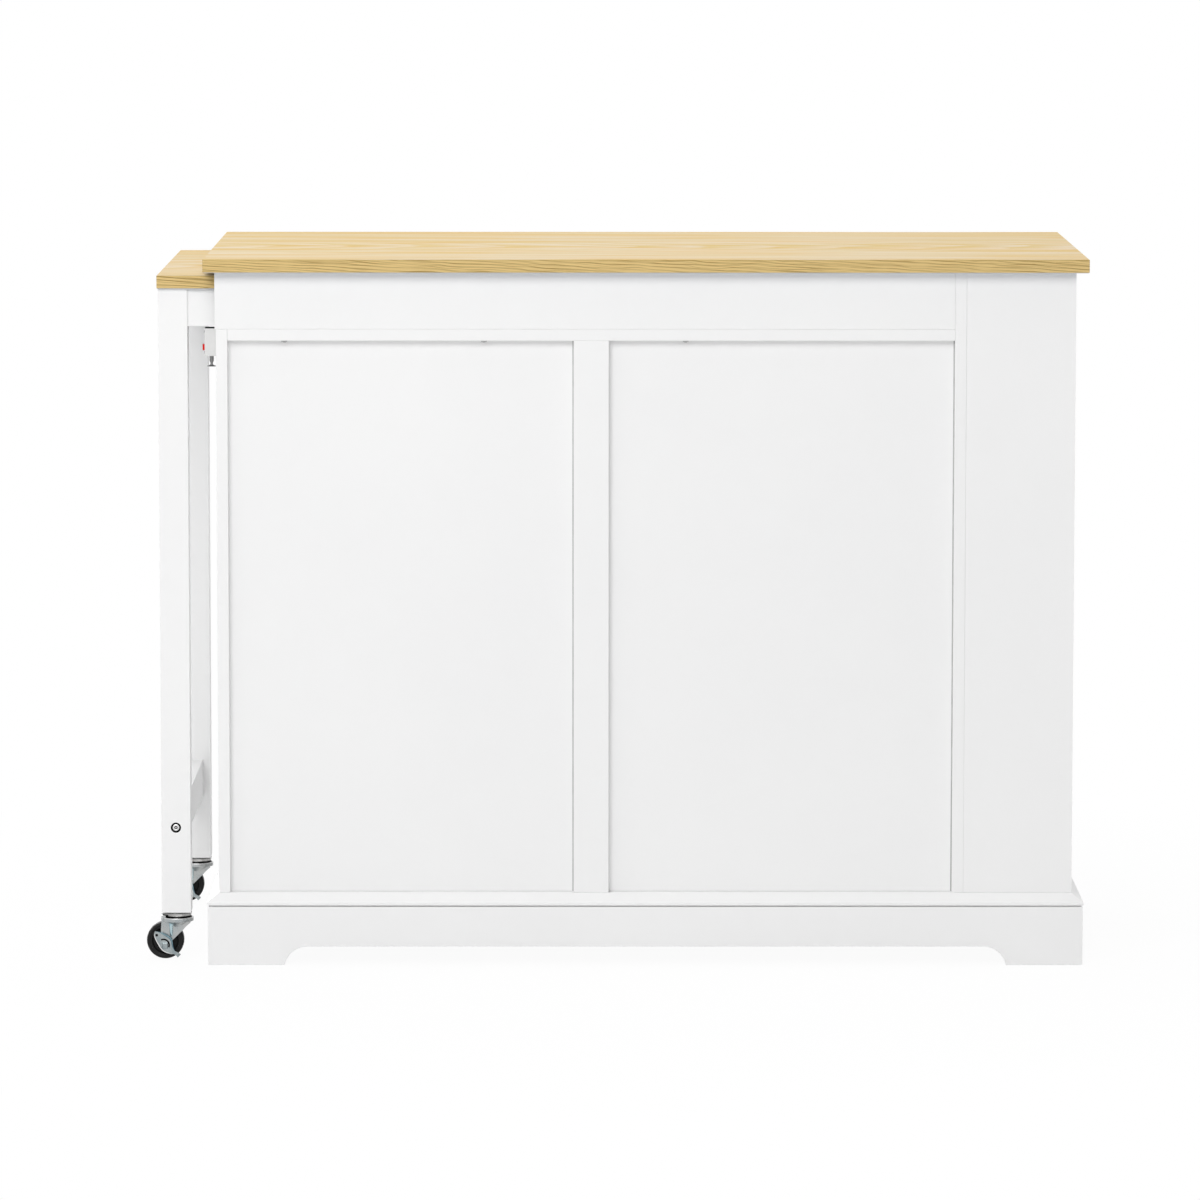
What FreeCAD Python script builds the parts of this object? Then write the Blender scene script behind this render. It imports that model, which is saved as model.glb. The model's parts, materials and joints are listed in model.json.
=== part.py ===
import FreeCAD, Part
import math
import os

import Sketcher

# Kitchen island with a pull-out table, in millimetres, +Z up.
# The closed back faces -Y, the doors face +Y, the open end shelves face +X and the table pulls
# out along -X. The origin is on the floor under the middle of the whole object.

SIZES = {
    # worktop
    "worktop_length": 1150,
    "worktop_depth": 600,
    "worktop_thick": 18,
    "worktop_overhang": 16,
    "edge_easing": 1,
    # carcass boards
    "board_thick": 15,
    "cupboard_height": 725,
    "table_bay_height": 74,
    "apron_lap": 1.5,
    "stile_width": 46,
    "back_panel_recess": 10,
    "back_panel_thick": 4,
    "groove_depth": 5,
    "groove_clearance": 0.2,
    # plinth and moulding
    "plinth_height": 77,
    "plinth_thick": 15,
    "plinth_setback": 1,
    "foot_length": 100,
    "arch_height": 24.5,
    "arch_radius": 31,
    "shadow_gap": 2,
    "shadow_depth": 4,
    "moulding_lip": 4,
    "bevel_rise": 11,
    "moulding_reach": 15,
    # open shelves on the end
    "end_bay_depth": 142,
    "end_shelf_setback": 2,
    # cupboard shelves
    "shelf_clearance": 1,
    "shelf_back_gap": 2,
    "shelf_front_gap": 40,
    "bracket_reach": 16,
    "bracket_width": 14,
    "bracket_gauge": 2,
    "bracket_inset": 60,
    # doors
    "door_thick": 16,
    "door_gap": 2,
    "door_frame": 62,
    "door_recess": 6,
    "door_bevel_angle": 30,
    "handle_projection": 25,
    "handle_length": 140,
    "handle_gauge": 10,
    "handle_inset": 31,
    "handle_drop": 170,
    "hinge_height": 54,
    "hinge_inset": 90,
    "leaf_width": 12,
    "leaf_thick": 0.85,
    "knuckle_radius": 4,
    "knuckle_clearance": 0.3,
    "hinge_pin_radius": 2,
    "hinge_pin_length": 18,
    "running_clearance": 0.06,
    "catch_length": 40,
    "catch_width": 12,
    "catch_height": 18,
    "catch_drop": 90,
    "catch_plate_thick": 1,
    "catch_air": 0.3,
    # telescopic slides
    "slide_length": 650,
    "slide_inset": 12,
    "slide_thick": 13,
    "slide_height": 45,
    "slide_gauge": 1.2,
    "slide_web_air": 1,
    "slide_flange": 8.5,
    "ball_race": 3.8,
    "ball_air": 0.3,
    "cage_width": 4.5,
    "cage_length": 350,
    "table_travel": 600,
    # table
    "table_reach": 78,
    "table_end_gap": 39,
    "table_thick": 18,
    "table_air": 5,
    "table_overhang": 4.5,
    "rail_thick": 18,
    "rail_height": 49,
    "leg_width": 38,
    "leg_inset": 1.5,
    "leg_proud": 2.5,
    "stretcher_height": 50,
    "stretcher_level": 176,
    "bolt_head_radius": 4.7,
    "bolt_head_height": 5,
    "bolt_recess_radius": 6.5,
    "bolt_recess_depth": 6,
    "hex_key": 5,
    "hex_depth": 3,
    # table lock
    "lock_depth": 16,
    "lock_width": 20,
    "lock_height": 36,
    "lock_drop": 1,
    "lock_travel": 8,
    "lock_pin_radius": 2.85,
    "lock_pin_offset": 7.5,
    "lock_stem": 12,
    "lock_flange_radius": 6.2,
    "lock_flange_height": 1.4,
    "lock_hole_clearance": 0.5,
    "lock_hole_depth": 8,
    "lock_tab_width": 6,
    "lock_tab_height": 8,
    "lock_tab_level": 7,
    "lock_tab_reach": 3,
    "lock_slot_clearance": 0.4,
    # castors
    "castor_height": 63,
    "race_radius": 19.3,
    "race_throat": 18.3,
    "race_air": 0.3,
    "race_gap": 0.9,
    "kingpin_radius": 4,
    "kingpin_head_radius": 5,
    "kingpin_head_height": 1.6,
    "wheel_radius": 24.5,
    "wheel_width": 18,
    "wheel_trail": 15.5,
    "wheel_recess": 3,
    "wheel_rim_radius": 17.5,
    "wheel_air": 0.9,
    "axle_radius": 3,
    "axle_hex": 11,
    "axle_head_height": 2.5,
    "fork_gauge": 2,
    "fork_air": 0.3,
    "fork_crown_air": 1,
    "fork_head_radius": 21.4,
    "fork_head_thick": 5,
    "fork_ear_height": 3.4,
    "fork_ear_place": 14.5,
    "fork_eye_radius": 6.5,
    "fork_heel": 20,
    "fork_shoulder": 39.5,
    "fork_nose": 8.6,
    "fork_nose_drop": 1.8,
    "fork_sweep_radius": 40,
    "fork_rib_place": 7.4,
    "fork_rib_width": 4,
    "fork_rib_height": 9,
    "fork_rib_depth": 0.8,
    "brake_length": 40,
    "brake_tail": 18.5,
    "brake_radius": 26.5,
    "brake_gauge": 1.6,
    "brake_air": 0.4,
    "brake_slope": 45,
    "brake_boss": 9.5,
    "brake_boss_height": 2,
    "brake_rim_width": 1.2,
    "brake_rim_height": 3,
    "brake_toe_length": 5.5,
    "brake_toe_width": 6,
    "brake_toe_depth": 7,
}


class Size:
    """A number that remembers the sheet expression it comes from."""

    def __init__(self, text, value):
        self.text = text
        self.value = value

    @staticmethod
    def of(number):
        if isinstance(number, Size):
            return number
        return Size(f"{float(number)}", float(number))

    def __add__(self, other):
        other = Size.of(other)
        return Size(f"({self.text} + {other.text})", self.value + other.value)

    def __sub__(self, other):
        other = Size.of(other)
        return Size(f"({self.text} - {other.text})", self.value - other.value)

    def __mul__(self, other):
        other = Size.of(other)
        return Size(f"({self.text} * {other.text})", self.value * other.value)

    def __truediv__(self, other):
        other = Size.of(other)
        return Size(f"({self.text} / {other.text})", self.value / other.value)

    def __neg__(self):
        return self * -1

    def __radd__(self, other):
        return Size.of(other) + self

    def __rsub__(self, other):
        return Size.of(other) - self

    def __rmul__(self, other):
        return Size.of(other) * self


def root(size):
    return Size(f"sqrt({size.text})", math.sqrt(size.value))


def slope_angle(run, rise):
    """Degrees from upright of a slope that goes out by run over rise."""
    return Size(f"atan({run.text} / {rise.text})", math.degrees(math.atan(run.value / rise.value)))


doc = FreeCAD.newDocument("kitchen_island")
sheet = doc.addObject("Spreadsheet::Sheet", "Sizes")
for row, (alias, number) in enumerate(SIZES.items(), start=1):
    sheet.set(f"A{row}", alias)
    sheet.set(f"B{row}", str(number))
    sheet.setAlias(f"B{row}", alias)
doc.recompute()


class Sheet:
    """The sheet's sizes, by their own names."""

    def __init__(self):
        for name in SIZES:
            setattr(self, name, Size(f"Sizes.{name}", float(sheet.get(name))))


s = Sheet()
nodes = []
ORIGIN = FreeCAD.Vector(0, 0, 0)
AXES = {
    "x": FreeCAD.Vector(1, 0, 0),
    "y": FreeCAD.Vector(0, 1, 0),
    "z": FreeCAD.Vector(0, 0, 1),
}
BACK, FRONT = -1, 1


# Document helpers


def bind(item, name, size):
    item.setExpression(name, Size.of(size).text)


def place(item, x, y, z):
    for axis, size in zip("xyz", (x, y, z)):
        bind(item, f"Placement.Base.{axis}", size)


def node(label, item):
    item.Label = label
    nodes.append(item)
    return item


def board(name, x, y, z):
    """A plain board between a low and a high place on each axis."""
    item = doc.addObject("Part::Box", name)
    for side, (low, high) in zip(("Length", "Width", "Height"), (x, y, z)):
        bind(item, side, Size.of(high) - low)
    place(item, x[0], y[0], z[0])
    return item


def rod(name, radius, length, axis, at):
    """A cylinder that starts at a place and runs along +X, +Y or +Z."""
    item = doc.addObject("Part::Cylinder", name)
    item.Placement = FreeCAD.Placement(ORIGIN, FreeCAD.Rotation(AXES["z"], AXES[axis]))
    bind(item, "Radius", radius)
    bind(item, "Height", length)
    place(item, *at)
    return item


def hexagon(name, across, length, at):
    """A hexagonal bar along +Y, measured across its flats."""
    item = doc.addObject("Part::Prism", name)
    item.Placement = FreeCAD.Placement(ORIGIN, FreeCAD.Rotation(AXES["z"], AXES["y"]))
    item.Polygon = 6
    bind(item, "Circumradius", across / root(Size.of(3)))
    bind(item, "Height", length)
    place(item, *at)
    return item


def group(name, items):
    item = doc.addObject("Part::Compound", name)
    item.Links = items
    return item


def fuse(name, items):
    item = doc.addObject("Part::MultiFuse", name)
    item.Shapes = items
    item.Refine = True
    return item


def cut(name, base, tools):
    item = doc.addObject("Part::Cut", name)
    item.Base = base
    item.Tool = tools[0] if len(tools) == 1 else group(name + "_cuts", tools)
    item.Refine = True
    return item


def new_body(name, x, y, z, turn=0, axis="z"):
    body = doc.addObject("PartDesign::Body", name)
    body.Placement = FreeCAD.Placement(ORIGIN, FreeCAD.Rotation(AXES[axis], Size.of(turn).value))
    if isinstance(turn, Size):
        bind(body, "Placement.Rotation.Angle", turn)
    place(body, x, y, z)
    return body


def new_sketch(body, role, offset=0):
    """A sketch on one of the body's own planes, moved along that plane's normal."""
    sketch = body.newObject("Sketcher::SketchObject", body.Name + "_sketch")
    plane = next(item for item in body.Origin.OriginFeatures if item.Role == role)
    sketch.AttachmentSupport = (plane, "")
    sketch.MapMode = "FlatFace"
    bind(sketch, "AttachmentOffset.Base.z", offset)
    return sketch


def measure(sketch, kind, *where):
    """A constraint that reads its value from the sheet; the value comes last in where."""
    size = Size.of(where[-1])
    index = sketch.addConstraint(Sketcher.Constraint(kind, *where[:-1], size.value))
    bind(sketch, f"Constraints[{index}]", size)


def bent_side(start, end, radius):
    """An arc from start to end: a positive radius turns left, a negative one turns right."""
    chord = end - start
    left = FreeCAD.Vector(-chord.y, chord.x, 0).normalize()
    reach = math.sqrt(radius * radius - chord.Length * chord.Length / 4)
    centre = (start + end) / 2 + left * (reach if radius > 0 else -reach)
    outward = left * (-abs(radius) if radius > 0 else abs(radius))
    return Part.Arc(start, centre + outward, end)


def outline(sketch, points):
    """A closed outline. A third value in a point bends the side that starts there to that radius."""
    first = sketch.GeometryCount
    count = len(points)
    spots = [FreeCAD.Vector(Size.of(p[0]).value, Size.of(p[1]).value, 0) for p in points]
    ends = []
    for i, point in enumerate(points):
        start, end = spots[i], spots[(i + 1) % count]
        bend = Size.of(point[2]) if len(point) > 2 else None
        side = bent_side(start, end, bend.value) if bend else Part.LineSegment(start, end)
        index = sketch.addGeometry(side)
        turned = bool(bend) and bend.value < 0
        ends.append((2, 1) if turned else (1, 2))
        if bend:
            measure(sketch, "Radius", index, -bend if turned else bend)
    for i, point in enumerate(points):
        after = (i + 1) % count
        joint = (first + i, ends[i][1], first + after, ends[after][0])
        sketch.addConstraint(Sketcher.Constraint("Coincident", *joint))
        measure(sketch, "DistanceX", -1, 1, first + i, ends[i][0], point[0])
        measure(sketch, "DistanceY", -1, 1, first + i, ends[i][0], point[1])


def rectangle(sketch, x, y):
    outline(sketch, [(x[0], y[0]), (x[1], y[0]), (x[1], y[1]), (x[0], y[1])])


def circle(sketch, x, y, radius):
    spot = FreeCAD.Vector(Size.of(x).value, Size.of(y).value, 0)
    index = sketch.addGeometry(Part.Circle(spot, AXES["z"], Size.of(radius).value))
    measure(sketch, "DistanceX", -1, 1, index, 3, x)
    measure(sketch, "DistanceY", -1, 1, index, 3, y)
    measure(sketch, "Radius", index, radius)


def extrude(body, kind, sketch, length, symmetric=False, reverse=False, taper=None):
    feature = body.newObject(f"PartDesign::{kind}", f"{body.Name}_{kind.lower()}")
    feature.Profile = sketch
    bind(feature, "Length", length)
    feature.SideType = "Symmetric" if symmetric else "One side"
    feature.Reversed = reverse
    if taper is not None:
        bind(feature, "TaperAngle", taper)
    return feature


def pad(body, sketch, length, **options):
    return extrude(body, "Pad", sketch, length, **options)


def pocket(body, sketch, length, **options):
    return extrude(body, "Pocket", sketch, length, **options)


def revolve(body, role, points):
    """A turned form: points give a radius and a place along the sketch's upright axis."""
    sketch = new_sketch(body, role)
    outline(sketch, points)
    feature = body.newObject("PartDesign::Revolution", body.Name + "_revolution")
    feature.Profile = sketch
    feature.ReferenceAxis = (sketch, ["V_Axis"])
    feature.Angle = 360
    return feature


# Places that several pieces share

carcass_length = s.worktop_length - 2 * s.worktop_overhang
carcass_depth = s.worktop_depth - 2 * s.worktop_overhang
leg_reach = carcass_length / 2 + s.table_reach - s.leg_inset - s.leg_width / 2
castor_reach = leg_reach + s.wheel_trail + s.wheel_radius
handle_reach = carcass_depth / 2 + s.handle_projection
cabinet_x = (castor_reach - s.worktop_length / 2) / 2
cabinet_y = (s.worktop_depth / 2 - handle_reach) / 2

left = cabinet_x - carcass_length / 2
right = cabinet_x + carcass_length / 2
back = cabinet_y - carcass_depth / 2
front = cabinet_y + carcass_depth / 2
floor_z = s.plinth_height + s.shadow_gap + s.moulding_lip + s.bevel_rise
deck_z = floor_z + s.cupboard_height
bay_z = deck_z + s.board_thick
worktop_z = bay_z + s.table_bay_height

bay_left = left + s.board_thick
partition_right = right - s.end_bay_depth
partition_left = partition_right - s.board_thick
middle_x = (bay_left + partition_left) / 2
middle_left = middle_x - s.board_thick / 2
middle_right = middle_x + s.board_thick / 2
panel_back = back + s.back_panel_recess
panel_front = panel_back + s.back_panel_thick

door_back = front - s.door_thick
door_low = floor_z + s.door_gap
door_high = deck_z - s.door_gap

table_left = left - s.table_reach
table_right = partition_left - s.table_end_gap
table_length = table_right - table_left
table_z = worktop_z - s.table_air - s.table_thick
rail_z = table_z - s.rail_height
rail_face = carcass_depth / 2 - s.board_thick - s.slide_thick
leg_face = rail_face + s.leg_proud
leg_x = cabinet_x - leg_reach
leg_right = leg_x + s.leg_width / 2
leg_offset = leg_face - s.leg_width / 2
lock_x = left - s.lock_pin_offset
lock_y = cabinet_y - rail_face + s.rail_thick / 2


# Tops, plinth and moulding


def slab(name, length, depth, thick, x, y, z):
    """A worktop board with eased edges, centred on x and y."""
    body = new_body(name, x, y, z)
    sketch = new_sketch(body, "XY_Plane")
    rectangle(sketch, (-length / 2, length / 2), (-depth / 2, depth / 2))
    plate = pad(body, sketch, thick)
    doc.recompute()
    easing = body.newObject("PartDesign::Chamfer", name + "_easing")
    easing.Base = (plate, ["Edge1"])
    easing.UseAllEdges = True
    bind(easing, "Size", s.edge_easing)
    return node(name, body)


def make_bottom_board():
    """The cupboard floor, whose edge is the bevelled moulding round the island."""
    length = carcass_length + 2 * s.moulding_reach
    depth = carcass_depth + 2 * s.moulding_reach
    body = new_body("bottom_board", cabinet_x, cabinet_y, s.plinth_height)
    sides = ((s.shadow_depth, 0, s.shadow_gap), (0, s.shadow_gap, s.moulding_lip))
    for setback, level, height in sides:
        sketch = new_sketch(body, "XY_Plane", level)
        half_x, half_y = length / 2 - setback, depth / 2 - setback
        rectangle(sketch, (-half_x, half_x), (-half_y, half_y))
        pad(body, sketch, height)
    sketch = new_sketch(body, "XY_Plane", s.shadow_gap + s.moulding_lip)
    rectangle(sketch, (-length / 2, length / 2), (-depth / 2, depth / 2))
    pad(body, sketch, s.bevel_rise, taper=-slope_angle(s.moulding_reach, s.bevel_rise))
    node("bottom_board", body)


def plinth_board(name, length, foot, x, y, turn):
    """A plinth board on two feet, with a round-cornered arch between them."""
    body = new_body(name, x, y, 0, turn)
    sketch = new_sketch(body, "XZ_Plane")
    drop = s.arch_radius - s.arch_height
    run = root(s.arch_radius * s.arch_radius - drop * drop)
    outer, inner, crown = length / 2, length / 2 - foot, length / 2 - foot - run
    outline(sketch, [
        (-outer, 0),
        (-inner, 0, -s.arch_radius),
        (-crown, s.arch_height),
        (crown, s.arch_height, -s.arch_radius),
        (inner, 0),
        (outer, 0),
        (outer, s.plinth_height),
        (-outer, s.plinth_height),
    ])
    pad(body, sketch, s.plinth_thick)
    node(name, body)


def make_plinth():
    half_x = carcass_length / 2 + s.moulding_reach - s.plinth_setback
    half_y = carcass_depth / 2 + s.moulding_reach - s.plinth_setback
    side_length = 2 * (half_y - s.plinth_thick)
    side_foot = s.foot_length - s.plinth_thick
    plinth_board("plinth_back", 2 * half_x, s.foot_length, cabinet_x, cabinet_y - half_y + s.plinth_thick, 0)
    plinth_board("plinth_front", 2 * half_x, s.foot_length, cabinet_x, cabinet_y + half_y, 0)
    plinth_board("plinth_left", side_length, side_foot, cabinet_x - half_x, cabinet_y, 90)
    right_face = cabinet_x + half_x - s.plinth_thick
    plinth_board("plinth_right", side_length, side_foot, right_face, cabinet_y, 90)


# Carcass

shelf_back = panel_front + s.shelf_back_gap
shelf_front = door_back - s.shelf_front_gap
shelf_z = floor_z + (s.cupboard_height - s.board_thick) / 2


def panel_groove(name, x):
    y = (panel_back - s.groove_clearance / 2, panel_front + s.groove_clearance / 2)
    return board(f"{name}_groove", x, y, (floor_z, deck_z))


def make_uprights():
    depth = (back, front)
    name = "left_side_panel"
    blank = board(name + "_blank", (left, bay_left), depth, (floor_z, bay_z))
    groove = panel_groove(name, (bay_left - s.groove_depth, bay_left))
    node(name, cut(name, blank, [groove]))

    name = "right_partition"
    blank = board(name + "_blank", (partition_left, partition_right), depth, (floor_z, worktop_z))
    groove = panel_groove(name, (partition_left, partition_left + s.groove_depth))
    node(name, cut(name, blank, [groove]))

    name = "centre_partition"
    node(name, board(name, (middle_left, middle_right), (panel_front, front), (floor_z, deck_z)))


def make_bay():
    """The deck under the table, and the aprons that hide the table's bay."""
    node("deck_board", board("deck_board", (bay_left, partition_left), (back, front), (deck_z, bay_z)))
    apron_x = (left - s.apron_lap, partition_left)
    apron_z = (bay_z, worktop_z)
    node("back_apron", board("back_apron", apron_x, (back, back + s.board_thick), apron_z))
    node("front_apron", board("front_apron", apron_x, (front - s.board_thick, front), apron_z))


def make_back():
    """Two thin panels in grooves, and the stile that covers the joint between them."""
    depth = (panel_back, panel_front)
    height = (floor_z, deck_z)
    tuck = s.groove_depth - s.groove_clearance
    node("back_panel_left", board("back_panel_left", (bay_left - tuck, middle_x), depth, height))
    node("back_panel_right", board("back_panel_right", (middle_x, partition_left + tuck), depth, height))
    stile_x = (middle_x - s.stile_width / 2, middle_x + s.stile_width / 2)
    node("back_centre_stile", board("back_centre_stile", stile_x, (back, panel_back), height))


def make_end_bay():
    """Open shelves on the island's end, between two closing panels."""
    width = (partition_right, right)
    height = (floor_z, worktop_z)
    node("end_back_panel", board("end_back_panel", width, (back, back + s.board_thick), height))
    node("end_front_panel", board("end_front_panel", width, (front - s.board_thick, front), height))
    levels = ("lower", "middle", "upper")
    space = (worktop_z - floor_z - len(levels) * s.board_thick) / (len(levels) + 1)
    shelf_x = (partition_right, right - s.end_shelf_setback)
    shelf_y = (back + s.board_thick, front - s.board_thick)
    for i, level in enumerate(levels):
        z = floor_z + (i + 1) * space + i * s.board_thick
        name = f"end_shelf_{level}"
        node(name, board(name, shelf_x, shelf_y, (z, z + s.board_thick)))


def shelf_bracket(wall, inward, y):
    """A steel angle on an upright's face, with its flat leg under the shelf."""
    body = new_body("shelf_bracket", wall, y, shelf_z)
    sketch = new_sketch(body, "XZ_Plane")
    outline(sketch, [
        (0, 0),
        (0, -s.bracket_reach),
        (inward * s.bracket_gauge, -s.bracket_reach),
        (inward * s.bracket_gauge, -s.bracket_gauge),
        (inward * s.bracket_reach, -s.bracket_gauge),
        (inward * s.bracket_reach, 0),
    ])
    pad(body, sketch, s.bracket_width, symmetric=True)
    return body


def make_shelves():
    bays = {"left": (bay_left, middle_left), "right": (middle_right, partition_left)}
    brackets = []
    for side, (low, high) in bays.items():
        name = f"cupboard_shelf_{side}"
        width = (low + s.shelf_clearance, high - s.shelf_clearance)
        node(name, board(name, width, (shelf_back, shelf_front), (shelf_z, shelf_z + s.board_thick)))
        for y in (shelf_back + s.bracket_inset, shelf_front - s.bracket_inset):
            brackets += [shelf_bracket(low, 1, y), shelf_bracket(high, -1, y)]
    node("shelf_brackets", group("shelf_brackets", brackets))


# Doors

hinge_y = front + s.knuckle_radius + s.knuckle_clearance
hinge_levels = (door_low + s.hinge_inset, door_high - s.hinge_inset - s.hinge_height)


def door_leaf_board(name, x):
    """A door with a recessed middle whose sides slope in."""
    body = new_body(name, x[0], front, door_low)
    width, height = x[1] - x[0], door_high - door_low
    sketch = new_sketch(body, "XZ_Plane")
    rectangle(sketch, (0, width), (0, height))
    pad(body, sketch, s.door_thick)
    sketch = new_sketch(body, "XZ_Plane")
    rectangle(sketch, (s.door_frame, width - s.door_frame), (s.door_frame, height - s.door_frame))
    pocket(body, sketch, s.door_recess, reverse=True, taper=-s.door_bevel_angle)
    node(name, body)


def handle(name, x):
    """A square bar handle on two posts."""
    body = new_body(name, x, front, door_high - s.handle_drop)
    end, inner_end = s.handle_length / 2, s.handle_length / 2 - s.handle_gauge
    bar = s.handle_projection - s.handle_gauge
    sketch = new_sketch(body, "YZ_Plane")
    outline(sketch, [
        (0, -end),
        (s.handle_projection, -end),
        (s.handle_projection, end),
        (0, end),
        (0, inner_end),
        (bar, inner_end),
        (bar, -inner_end),
        (0, -inner_end),
    ])
    pad(body, sketch, s.handle_gauge, symmetric=True)
    node(name, body)


def hinge_leaf(name, plate_x, axis_x, z, knuckle_z):
    """The solids of a leaf of a lift-off hinge: its plate and its own half of the barrel."""
    plate_y = (front - s.leaf_width, front - s.knuckle_clearance)
    length = (s.hinge_height - s.knuckle_clearance) / 2
    return [
        board(name + "_plate", plate_x, plate_y, (z, z + s.hinge_height)),
        board(name + "_web", plate_x, (plate_y[1], hinge_y), (knuckle_z, knuckle_z + length)),
        rod(name + "_knuckle", s.knuckle_radius, length, "z", (axis_x, hinge_y, knuckle_z)),
    ]


def hinge(frame_x, door_x, axis_x, z):
    """A lift-off hinge: the frame's leaf has the lower half of the barrel and the pin."""
    split = z + (s.hinge_height - s.knuckle_clearance) / 2
    upper = split + s.knuckle_clearance
    solids = hinge_leaf("hinge_frame_leaf", frame_x, axis_x, z, z)
    pin_length = s.hinge_pin_length + s.knuckle_clearance
    solids.append(rod("hinge_pin", s.hinge_pin_radius, pin_length, "z", (axis_x, hinge_y, split)))
    frame_leaf = fuse("hinge_frame_leaf", solids)
    blank = fuse("hinge_door_leaf_blank", hinge_leaf("hinge_door_leaf", door_x, axis_x, z, upper))
    bore_radius = s.hinge_pin_radius + s.running_clearance
    bore_depth = s.hinge_pin_length + s.knuckle_clearance
    bore = rod("hinge_bore", bore_radius, bore_depth, "z", (axis_x, hinge_y, upper))
    return frame_leaf, cut("hinge_door_leaf", blank, [bore])


def make_doors():
    bays = {"left": (bay_left, middle_left, 1), "right": (middle_right, partition_left, -1)}
    frame_leaves, catches = [], []
    for side, (low, high, inward) in bays.items():
        door_x = (low + s.door_gap, high - s.door_gap)
        door_leaf_board(f"door_{side}", door_x)
        jamb, edge, free = (low, door_x[0], door_x[1]) if inward > 0 else (high, door_x[1], door_x[0])
        handle(f"door_handle_{side}", free - inward * s.handle_inset)

        axis_x = jamb + inward * s.door_gap / 2
        frame_x = sorted((jamb, jamb + inward * s.leaf_thick), key=lambda size: size.value)
        door_leaf_x = sorted((edge, edge - inward * s.leaf_thick), key=lambda size: size.value)
        door_leaves = []
        for z in hinge_levels:
            frame_leaf, door_leaf = hinge(frame_x, door_leaf_x, axis_x, z)
            frame_leaves.append(frame_leaf)
            door_leaves.append(door_leaf)
        name = f"hinge_door_leaves_{side}"
        node(name, group(name, door_leaves))

        wall = high if inward > 0 else low
        catch_x = sorted((wall, wall - inward * s.catch_width), key=lambda size: size.value)
        catch_front = door_back - s.catch_plate_thick - s.catch_air
        catch_z = (door_high - s.catch_drop - s.catch_height, door_high - s.catch_drop)
        catch_y = (catch_front - s.catch_length, catch_front)
        catches.append(board("door_catch", catch_x, catch_y, catch_z))
        name = f"catch_plate_{side}"
        plate_x = sorted((free, free - inward * s.catch_width), key=lambda size: size.value)
        node(name, board(name, plate_x, (door_back - s.catch_plate_thick, door_back), catch_z))
    node("hinge_frame_leaves", group("hinge_frame_leaves", frame_leaves))
    node("door_catches", group("door_catches", catches))


# Telescopic slides

slide_z = rail_z + s.rail_height / 2
slide_x = left + s.slide_inset


def channel(name, side, web, flange_end, height):
    """A rolled channel along X. web and flange_end are depths from the apron's inner face."""
    apron_face = cabinet_y + side * (carcass_depth / 2 - s.board_thick)
    body = new_body(name, slide_x, apron_face, slide_z)
    sketch = new_sketch(body, "YZ_Plane")
    flip = -side
    inner_web = web + s.slide_gauge if flange_end.value > Size.of(web).value else web - s.slide_gauge
    outline(sketch, [
        (flip * web, -height / 2),
        (flip * flange_end, -height / 2),
        (flip * flange_end, s.slide_gauge - height / 2),
        (flip * inner_web, s.slide_gauge - height / 2),
        (flip * inner_web, height / 2 - s.slide_gauge),
        (flip * flange_end, height / 2 - s.slide_gauge),
        (flip * flange_end, height / 2),
        (flip * web, height / 2),
    ])
    pad(body, sketch, s.slide_length)
    return body


def ball_cages(side, low_depth, outer_height):
    """The two ball cages that run just inside a channel of the given height."""
    apron_face = cabinet_y + side * (carcass_depth / 2 - s.board_thick)
    edges = (apron_face - side * low_depth, apron_face - side * (low_depth + s.cage_width))
    y = sorted(edges, key=lambda size: size.value)
    start = slide_x + (s.slide_length - s.cage_length) / 2
    thick = s.ball_race - 2 * s.ball_air
    low = outer_height / 2 - s.slide_gauge - s.ball_air - thick
    return [
        board("ball_cage", (start, start + s.cage_length), y, (slide_z + z, slide_z + z + thick))
        for z in (low, -low - thick)
    ]


def make_slides():
    middle_height = s.slide_height - 2 * (s.slide_gauge + s.ball_race)
    inner_height = middle_height - 2 * (s.slide_gauge + s.ball_race)
    middle_web = s.slide_gauge + s.slide_web_air
    outers, middles, inners, cages = [], [], [], []
    for side in (BACK, FRONT):
        outers.append(channel("slide_outer", side, Size.of(0), s.slide_flange, s.slide_height))
        middle_end = middle_web + s.slide_flange
        middles.append(channel("slide_middle", side, middle_web, middle_end, middle_height))
        inner_end = s.slide_thick - s.slide_flange
        inners.append(channel("slide_inner", side, s.slide_thick, inner_end, inner_height))
        cages += ball_cages(side, s.slide_flange - s.cage_width, s.slide_height)
        cages += ball_cages(side, middle_end - s.cage_width, middle_height)
    node("slide_outer_members", group("slide_outer_members", outers))
    node("slide_middle_members", group("slide_middle_members", middles))
    node("slide_inner_members", group("slide_inner_members", inners))
    node("slide_ball_cages", group("slide_ball_cages", cages))


# Table



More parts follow.
